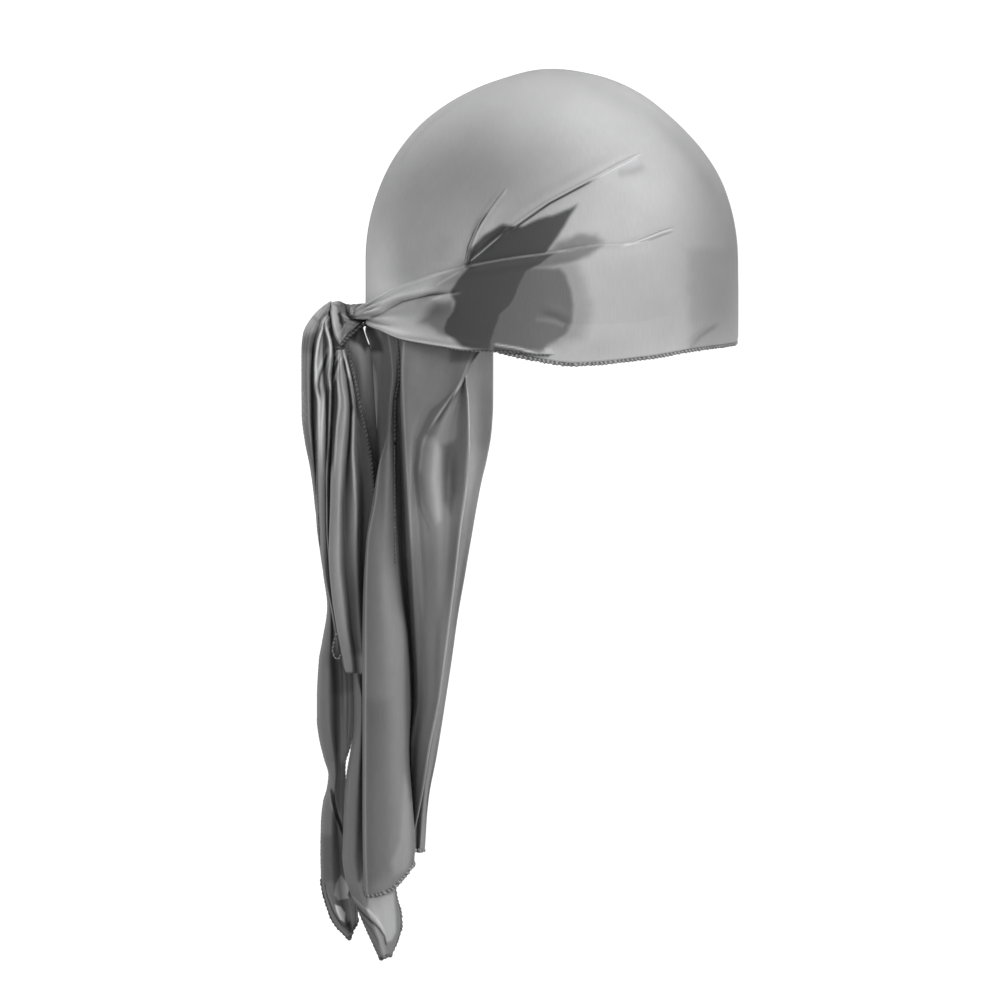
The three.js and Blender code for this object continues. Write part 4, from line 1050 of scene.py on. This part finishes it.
SHADOW_BEHIND_KNOT = [(348, 338), (358, 326), (366, 322), (369, 345), (364, 352), (360, 345), (354, 343)]
back_grid = rippled(hang(SHORT_TAIL_BACK, rows=130, steps=SHORT_STEPS), size=4, depth=0.25, seed=8)
# Fold tones of the back layer with painted light and shade.
tone = fold_tone(back_grid, SHORT_STEPS, [0.16, 0.44, 0.40, 0.14], [])
q = pixel(back_grid)
# Painted shade, darker towards the bottom.
tone *= 1 - 0.55 * ramp(q[..., 1], 385, 470)
# Painted shadow behind the knot, then a painted highlight line.
tone *= 1 - 0.80 * patch(q, SHADOW_BEHIND_KNOT, 2.5, 1.5)
tone += lines(q, [([(356, 345), (359, 333), (361, 327)], 1.2, 0.06)])
hanging_piece("short_tail_back_layer", back_grid, tone, "short_tail", [])

# Painted light and shade on the long tail: lit and shaded patches, a lit shoulder, and strong painted light
# through the single layer at its tips.
LONG_TAIL_PATCHES = [
    ([(340, 655), (349, 655), (355, 700), (352, 740), (345, 765), (341, 760), (340, 700)], 4, 0, 0.9),
    ([(330, 655), (338, 655), (340, 700), (340, 740), (334, 760), (330, 700)], 4, 0, -0.3),
    ([(319, 835), (333, 835), (333, 880), (322, 885)], 4, 0, -0.3),
    ([(334, 299), (325, 304), (310, 317), (300, 337), (310, 334), (323, 326), (330, 320), (331, 313)], 2.2,
     0, 0.55),
    ([(300, 340), (314, 333), (315, 352), (300, 354)], 4, 0, -0.35),
    ([(340, 876.5), (343.5, 882), (348.5, 890), (346.3, 897.5), (347.5, 901), (337.5, 901), (334.4, 895),
      (335, 885)], 1, 0, 2.0),
    ([(335, 905), (340, 907.5), (344.4, 915), (343.8, 923.8), (340, 920), (336.3, 911)], 0.8, 0, 4.5),
]
# Painted shade lines and painted highlights along the long tail's creases and edge.
LONG_TAIL_LINES = [
    ([(323.5, 307.5), (327.5, 307)], 1.2, -0.16), ([(321.5, 324), (325, 325), (330, 325)], 1.6, -0.1),
    ([(325, 317), (327.5, 321), (330, 323)], 1.6, -0.14),
    ([(312.4, 317.6), (317, 319.5), (322, 322.3)], 1.1, -0.12),
    ([(331.9, 789), (333.1, 801), (335.6, 814), (340, 826), (343, 840)], 1.2, -0.4),
    ([(330.2, 792), (331.3, 803), (333.6, 816), (338, 829), (341, 838)], 0.8, 0.08),
    ([(333.8, 789), (335.3, 801), (338.3, 813), (342.3, 826)], 0.8, 0.09),
    ([(324.5, 884), (327.8, 899), (333.4, 913.5), (342, 926), (348, 932)], 0.9, -0.14),
    ([(325.8, 888), (330, 900), (335.5, 912), (343, 922)], 0.7, 0.08),
    ([(346.3, 889), (348.5, 895), (349.5, 902)], 1.6, -0.16),
    ([(347, 924), (351, 929), (352, 934)], 3.5, -0.12),
    ([(306, 390), (302.5, 394), (306, 398), (303, 402), (307, 406), (303.5, 410), (307, 414), (304, 418),
      (307.5, 422), (305, 427)], 0.9, 0.09),
]
long_grid = rippled(hang(LONG_TAIL, rows=300, steps=LONG_STEPS, low=2.0), size=4, depth=0.3, seed=5,
                    top_share=0.12, bunches=11, bunch_depth=0.35)
q = pixel(long_grid)
# Fold tones of the long tail with painted light and shade.
tone = fold_tone(long_grid, LONG_STEPS, [0.17, 0.18, 0.16, 0.08, 0.26, 0.28, 0.14, 0.24, 0.15, 0.17],
                 [(4, 0.06, 0.6), (7, 0.06, 0.6), (0, -0.06, 0.6)])
# Painted shade on a band of the tail's right folds.
tone *= 1 - 0.25 * ramp(q[..., 1], 600, 660) * ramp(q[..., 0], 326, 334) * (1 - ramp(q[..., 1], 690, 700))
tone *= patched(q, LONG_TAIL_PATCHES)
tone += lines(q, PLEATS)
tone += lines(q, LONG_TAIL_LINES)
hanging_piece("long_tail_cloth", long_grid, tone, "long_tail",
              [("left_edge", long_grid[20:row_at(long_grid, 884), 0], 0.4, 0.2),
               ("tip_edge", long_grid[row_at(long_grid, 882):, 0], 1.0, 0.13),
               ("right_edge", long_grid[20:, -1], 0.7, 0.16), ("hem", long_grid[-1], 1.0, 0.13),
               ("pleat_edge", between(long_grid, 430, 540)[:, 76] + [-0.6, 0, 0], 0.7, 0.09),
               ("fold_edge", between(long_grid, 432, 545)[:, 37] + [-0.6, 0, 0], 0.6, 0.09)])

# Painted highlight and painted shade lines on the inner lobe.
LOBE_LINES = [
    ([(352.5, 896), (360, 903.5), (367.5, 910), (375.5, 918), (381.5, 926), (386.6, 937)], 0.8, 0.12),
    ([(359, 914), (366, 922), (373, 931), (378, 941), (380, 950)], 1.0, -0.08),
]
TURNED_OUT = [(367.5, 894), (377.5, 898), (387.5, 895), (393, 895), (395.5, 916), (395.5, 932),
              (391.5, 940), (386.3, 943), (380, 929), (367.5, 911)]
SHADED_TURN_EDGE = [(353.8, 902.5), (362.5, 912.5), (371.3, 921), (378.8, 929), (383.8, 936), (385.6, 944)]
lobe_grid = rippled(hang(INNER_LOBE, rows=200, steps=LONG_STEPS, low=2.5), size=4, depth=0.3, seed=6)
q = pixel(lobe_grid)
tone = fold_tone(lobe_grid, LONG_STEPS, [0.15, 0.17, 0.19, 0.15, 0.13, 0.13, 0.14], [(0, 0.13, 0.7)])
# Painted light on the lobe's upper left, then lighter over the turned-out part.
tone *= 1 + 0.15 * (1 - ramp(q[..., 1], 880, 895)) * (1 - ramp(q[..., 0], 357, 361))
tone *= 1 + 0.95 * patch(q, TURNED_OUT, 1.6)
# Painted shade along the turned edge.
tone *= 1 - 0.85 * np.exp(-(stroke(q, SHADED_TURN_EDGE)[0] / 1.2) ** 2)
tone += lines(q, LOBE_LINES)
hanging_piece("long_tail_inner_lobe", lobe_grid, tone, "long_tail",
              [("left_edge", lobe_grid[:row_at(lobe_grid, 900), 0], 0.4, 0.2),
               ("tip_edge", lobe_grid[row_at(lobe_grid, 898):, 0], 0.7, 0.16),
               ("right_edge", lobe_grid[:, -1], 1.05, 0.13), ("hem", lobe_grid[-1], 1.2, 0.13),
               ("inner_edge", between(lobe_grid, 690, 790)[:, 24] + [-0.8, 0, 0], 0.6, 0.09)])

# Knot. A strand has a row for each place on its way: pixel across, pixel down, out, width, thickness, and
# which way its width lies as fore, out and up.

CORE = [
    (374, 309, 25, 9.5, 2.6, 0.1, 0.2, 1), (367.5, 311.3, 20.5, 9, 3.2, 0.1, 0.3, 1),
    (361, 313.3, 17, 6.8, 3.6, 0.1, 0.3, 1), (355, 315.4, 13.5, 3.6, 3.4, 0.1, 0.3, 1),
    (349.5, 316.5, 8, 7, 7, 0, 0.2, 1), (340, 316, 5, 11, 10, 0.1, 0, 1), (333, 315, 3, 10, 8, 0.3, 0, 1),
    (328.5, 316, 2, 7, 5, 0.5, 0, 1),
]
WRAP = [
    (374, 312, -24, 6, 2.4, 0, 0.2, 1), (367, 311.5, -16, 6, 3.4, 0.1, 0.4, 1),
    (358, 311.5, -9, 6.5, 5, 0.4, 0.6, 0.9), (347, 309.5, -2, 8.5, 5, 1, 0.2, 0.25),
    (341, 314, 3, 10, 6, 1, 0.1, 0.1), (339, 324, 5, 10, 6, 1, 0, -0.1), (338.5, 336, 6, 8, 6, 1, 0, 0),
    (340, 347, 7, 6.5, 5.5, 1, 0, 0), (341, 355, 9, 5, 4.5, 1, 0, 0),
]
ROLL = [
    (368, 307.5, 5, 4, 3, 0, 0.3, 1), (362.5, 307.6, 8, 4.6, 4, 0.2, 0.3, 1),
    (356.5, 308.6, 10.5, 4.6, 4.4, 0.5, 0.2, 0.9), (352.6, 312.4, 12, 4.4, 4.4, 1, 0.2, 0.3),
    (355.5, 316.8, 12.5, 4.2, 4.2, 0.9, 0.2, -0.6), (361, 318.6, 11, 4, 3.8, 0.4, 0.2, -1),
    (368, 319.5, 8, 3.6, 3, 0.1, 0.1, -1),
]


def rounded(v):
    """Cosine or sine of a turn, swollen toward a fuller round."""
    return np.sign(v) * np.abs(v) ** 0.85


def strand(name, rows, cad_nodes, tone, pleats, depth, seed):
    """Knotted cloth along a way of its own, with grooves down its length."""
    r = np.array(rows, float)
    centre = seen(r[:, 0], r[:, 1], r[:, 2])
    steps = 16
    path = curve_through(centre[None], steps)[0]
    knots = np.arange(len(r)) * steps
    at = np.arange(len(path))
    width, thick = (eased(knots, r[:, i], at) for i in (3, 4))
    wide = np.stack([-eased(knots, r[:, 6], at), -eased(knots, r[:, 5], at), eased(knots, r[:, 7], at)], 1)
    tangent = np.gradient(path, axis=0)
    tangent /= np.linalg.norm(tangent, axis=1, keepdims=True)
    wide -= tangent * np.sum(wide * tangent, 1, keepdims=True)
    wide /= np.linalg.norm(wide, axis=1, keepdims=True)
    deep = np.cross(tangent, wide)
    sides = 96
    turn = np.arange(sides) * 2 * math.pi / sides
    c, s = np.cos(turn), np.sin(turn)
    ring_w = rounded(c)[None] * width[:, None] / 2
    ring_d = rounded(s)[None] * thick[:, None] / 2
    grid = path[:, None] + wide[:, None] * ring_w[..., None] + deep[:, None] * ring_d[..., None]
    out = grid - path[:, None]
    out /= np.maximum(np.linalg.norm(out, axis=-1, keepdims=True), 1e-6)
    wander = 0.9 * hash_noise(grid * 0.6, 7, seed)
    groove = np.cos(c[None] * pleats + wander * 2.2 + 0.4)
    ends = ramp(at, 0, 10) * ramp(len(path) - 1 - at, 0, 6)
    grid = grid + out * (depth * groove * ends[:, None] + 0.25 * hash_noise(grid, 2.6, seed + 1))[..., None]
    # Painted shade in the grooves and painted light on their ridges.
    shade = tone(pixel(grid)) * (1 + 0.18 * groove)
    mesh_of(name, grid.reshape(-1, 3), tube_faces(len(path), sides), lengths(grid), shade.ravel(),
            cloth_material, cad_nodes)


def core_tone(q):
    """Tone of the core, with painted light where it turns over the knot."""
    return 0.09 + 0.23 * ramp(q[..., 0], 351, 358) * (1 - ramp(q[..., 1], 317, 320.5))


strand("knot_core_cloth", CORE, ["knot_core"], core_tone, pleats=7.5, depth=0.30, seed=11)
strand("knot_wrap_strand", WRAP, [], lambda q: 0.13 + 0 * q[..., 0], pleats=6.0, depth=0.42, seed=12)
# The roll's tone is painted darker on its lower half, as painted shade.
strand("knot_roll", ROLL, [], lambda q: 0.24 - 0.16 * ramp(q[..., 1], 314, 319), pleats=4.0, depth=0.22,
       seed=13)

KNOT_FACE = [
    [(330, 303, 6), (330.3, 311, 8), (331.6, 320, 9), (333, 329, 10), (335.5, 337.5, 10),
     (340.5, 346.5, 9)],
    [(333, 301.8, 10.5), (332.4, 311, 13), (333.6, 321, 14.6), (335.4, 330, 15.4), (338, 338, 15),
     (341, 346.5, 12.5)],
    [(336.5, 301.2, 12), (336.5, 310, 13.5), (337, 318, 14), (338.6, 326, 14), (340.3, 335, 14),
     (341.8, 346.5, 12)],
    [(339.5, 301.2, 12), (339.5, 309, 14.5), (339.8, 315, 13.5), (341, 321, 13.5), (344, 327, 15.5),
     (344, 334, 16.4), (342.5, 346, 12.8)],
    [(342, 302, 11), (342.3, 309, 14), (342.8, 315, 15.5), (344.5, 320, 16.5), (349, 324, 17),
     (348.6, 329, 17), (346.5, 335, 16.6), (343.3, 345.5, 12.8)],
    [(344.5, 303, 9.5), (345.2, 309, 13), (345.8, 315, 14.5), (348.5, 319.5, 16), (355, 322, 17),
     (354.5, 326, 16.8), (350.5, 332, 16.2), (346, 338, 15), (344, 345.2, 12.8)],
    [(346, 304, 7), (347, 309, 10), (347.6, 315, 12), (351, 319.3, 14.5), (362, 321.8, 15), (360, 326, 15),
     (354.3, 332, 15), (348, 337.5, 14.8), (344.6, 345, 12)],
    [(345, 304.5, 1), (346, 309, 1), (346.5, 315, 1), (350, 320, 2), (360.5, 322.5, 4), (358.5, 327, 4),
     (353, 332.5, 5), (347.5, 338, 7), (344, 345.5, 8)],
    [(341, 304, -4), (342, 315, -5), (343, 330, -4), (342, 345.6, 3)],
    [(331, 304, -2), (331, 314, -3), (332.5, 323, -2), (336, 334, 2), (340.8, 346, 5)],
]
# Tone of each fold line round the knot's face: its grey with painted light and shade.
KNOT_TONES = [0.30, 0.40, 0.28, 0.15, 0.15, 0.13, 0.09, 0.05, 0.08, 0.16, 0.30]
# Painted highlights and painted shade lines on the knot's face; the last two paint the shadow in the gaps
# along its edges.
KNOT_LINES = [
    ([(331, 310), (332, 320), (333, 329.5), (335, 337), (338.5, 344)], 1.3, 0.2),
    ([(338.3, 312.5), (341.2, 319), (341.8, 324.5), (340.5, 331)], 2.0, -0.11),
    ([(340.5, 313.9), (346.8, 317.6), (351, 319.5)], 0.9, 0.12),
    ([(349.3, 320.8), (345.5, 325.5), (343, 329.5), (341, 334)], 1.2, 0.08),
    ([(352, 322.5), (356, 324.5), (360, 323)], 0.9, 0.06),
    ([(347, 327), (351, 326), (354, 328)], 0.9, 0.05),
    ([(342, 340), (344.5, 335.5), (347, 334.5)], 0.8, 0.12),
    ([(340, 343), (341.5, 338), (342.5, 334)], 0.8, 0.06),
    ([(346.6, 303), (347.4, 309.5), (347.6, 314.5), (351, 319), (357.4, 320.6), (366.8, 322.3)], 1.2, -0.4),
    ([(366, 322.8), (359.5, 326), (353.5, 332), (347.5, 337), (342.5, 344)], 1.3, -0.3),
]
KNOT_PULLS = [
    pull([(338.3, 312), (341.2, 319), (341.8, 325), (340, 332)], 0.5, 2.4, groove=0.9),
    pull([(340.5, 313.9), (346.8, 317.6), (351, 319.5)], 0.6, 1.6, groove=0.3),
    pull([(350, 320), (345.5, 325.5), (343, 330), (341, 335)], 0.5, 1.8, groove=0.5),
    pull([(359, 323), (354, 325.5), (350, 330)], 0.4, 1.4, groove=0.4),
    pull([(333, 305), (338, 307), (344, 305.5)], 0.5, 2.0, groove=0.4),
]
face_grid = curve_through(tracks_of(KNOT_FACE, np.linspace(0, 1, 70)), 12, closed=True)
n = normals(face_grid, closed=True)
fold_lift = creases(pixel(face_grid), KNOT_PULLS)
outward = np.sign(np.sum(n * (face_grid - face_grid.mean((0, 1))), -1).mean())
face_grid = face_grid + outward * n * (fold_lift + 0.22 * hash_noise(face_grid, 3.0, 15))[..., None]
columns = face_grid.shape[1]
tone = np.interp(np.arange(columns) / 12, np.arange(len(KNOT_TONES)), KNOT_TONES)
q = pixel(face_grid)
tone = tone[None] + lines(q, KNOT_LINES)
# Painted shade at the top of the knot's face.
tone *= 1 - 0.30 * patch(q, [(338, 308), (341, 303), (347, 303), (348, 313), (342, 313)], 2)
mesh_of("knot_wrap_cloth", face_grid.reshape(-1, 3), tube_faces(len(face_grid), columns), lengths(face_grid),
        np.clip(tone, 0.02, 0.9).ravel(), cloth_material, ["knot_wrap"])
KNOT_EDGE = [(371, 322.6, 12), (366, 323, 14), (360.5, 326.3, 15.6), (354.3, 332, 16.6),
             (348.5, 336.6, 16.6), (343.5, 342.5, 15.2), (340, 346.5, 14.2), (337.5, 348.6, 13.6)]
KNOT_GAP_SHADOW = [(370.5, 324.8, 11), (364, 325.3, 13), (358.5, 329.3, 14.6), (352.6, 335.2, 15.6),
            (347, 339, 15.6), (342.5, 345.8, 14.2)]
serging("knot_edge_stitching", seen(*zip(*KNOT_EDGE)), 0.95, tone=0.11)
# A near-black thread stands in for the shadow in the gap under the knot's edge.
serging("knot_edge_shadow_thread", seen(*zip(*KNOT_GAP_SHADOW)), 0.7, tone=0.03)

# Stage, lights and camera

backdrop = bpy.data.materials.new("backdrop_white")
backdrop.use_nodes = True
shader = backdrop.node_tree.nodes["Principled BSDF"]
shader.inputs["Base Color"].default_value = (0.82, 0.82, 0.82, 1)
shader.inputs["Roughness"].default_value = 0.9
shader.inputs["Emission Color"].default_value = (1, 1, 1, 1)
shader.inputs["Emission Strength"].default_value = 0.55

profile = [(0.0, -0.75), (3.2, -0.75)]
for step in range(1, 13):
    a = step / 12 * math.pi / 2
    profile.append((3.2 + 1.8 * math.sin(a), -0.75 + 1.8 * (1 - math.cos(a))))
profile += [(5.0, 4.0), (3.5, 6.0), (0.0, 7.0)]
sides = 64
verts = [(r * math.cos(2 * math.pi * k / sides), r * math.sin(2 * math.pi * k / sides), z)
         for r, z in profile for k in range(sides)]
mesh = bpy.data.meshes.new("studio_bowl")
mesh.from_pydata(verts, [], grid_faces(len(profile), sides, True))
mesh.polygons.foreach_set("use_smooth", [True] * len(mesh.polygons))
mesh.materials.append(backdrop)
sweep = bpy.data.objects.new("studio_bowl", mesh)
bpy.context.scene.collection.objects.link(sweep)
sweep.visible_diffuse = False
sweep.visible_glossy = False

world = bpy.data.worlds.new("studio")
world.use_nodes = True
world.node_tree.nodes["Background"].inputs[0].default_value = (1, 1, 1, 1)
world.node_tree.nodes["Background"].inputs[1].default_value = 0.55
bpy.context.scene.world = world


def area_light(name, place, aim, size, power):
    """A soft light in metres and watts, turned to a place."""
    light = bpy.data.lights.new(name, "AREA")
    light.shape = "RECTANGLE"
    light.size, light.size_y = size
    light.energy = power
    lamp = bpy.data.objects.new(name, light)
    lamp.location = place
    way = np.array(aim) - np.array(place)
    lamp.rotation_mode = "QUATERNION"
    lamp.rotation_quaternion = Vector(way).to_track_quat("-Z", "Y")
    bpy.context.scene.collection.objects.link(lamp)


area_light("key", (-1.9, -1.3, 1.0), (0, 0.0, -0.15), (0.9, 0.9), 62)
area_light("fill", (-2.0, 0.9, 0.2), (0, 0.05, -0.25), (1.4, 1.4), 9)
area_light("front", (-0.9, -2.2, -0.3), (0, 0.05, -0.3), (1.0, 1.0), 22)
area_light("back", (1.2, 1.2, 1.0), (0, 0.05, -0.2), (1.0, 1.0), 14)

camera_data = bpy.data.cameras.new("camera")
camera_data.sensor_width = 36
camera_data.lens = 36 / (2 * 500 * SCALE / REACH)
camera_data.clip_start, camera_data.clip_end = 0.1, 50
camera = bpy.data.objects.new("camera", camera_data)
camera.location = ((AIM[0] - REACH * COS) / 1000, AIM[1] / 1000, (AIM[2] + REACH * SIN) / 1000)
camera.rotation_mode = "QUATERNION"
camera.rotation_quaternion = Vector((COS, 0, -SIN)).to_track_quat("-Z", "Y")
bpy.context.scene.collection.objects.link(camera)
bpy.context.scene.camera = camera
bpy.context.scene.view_settings.view_transform = "Standard"
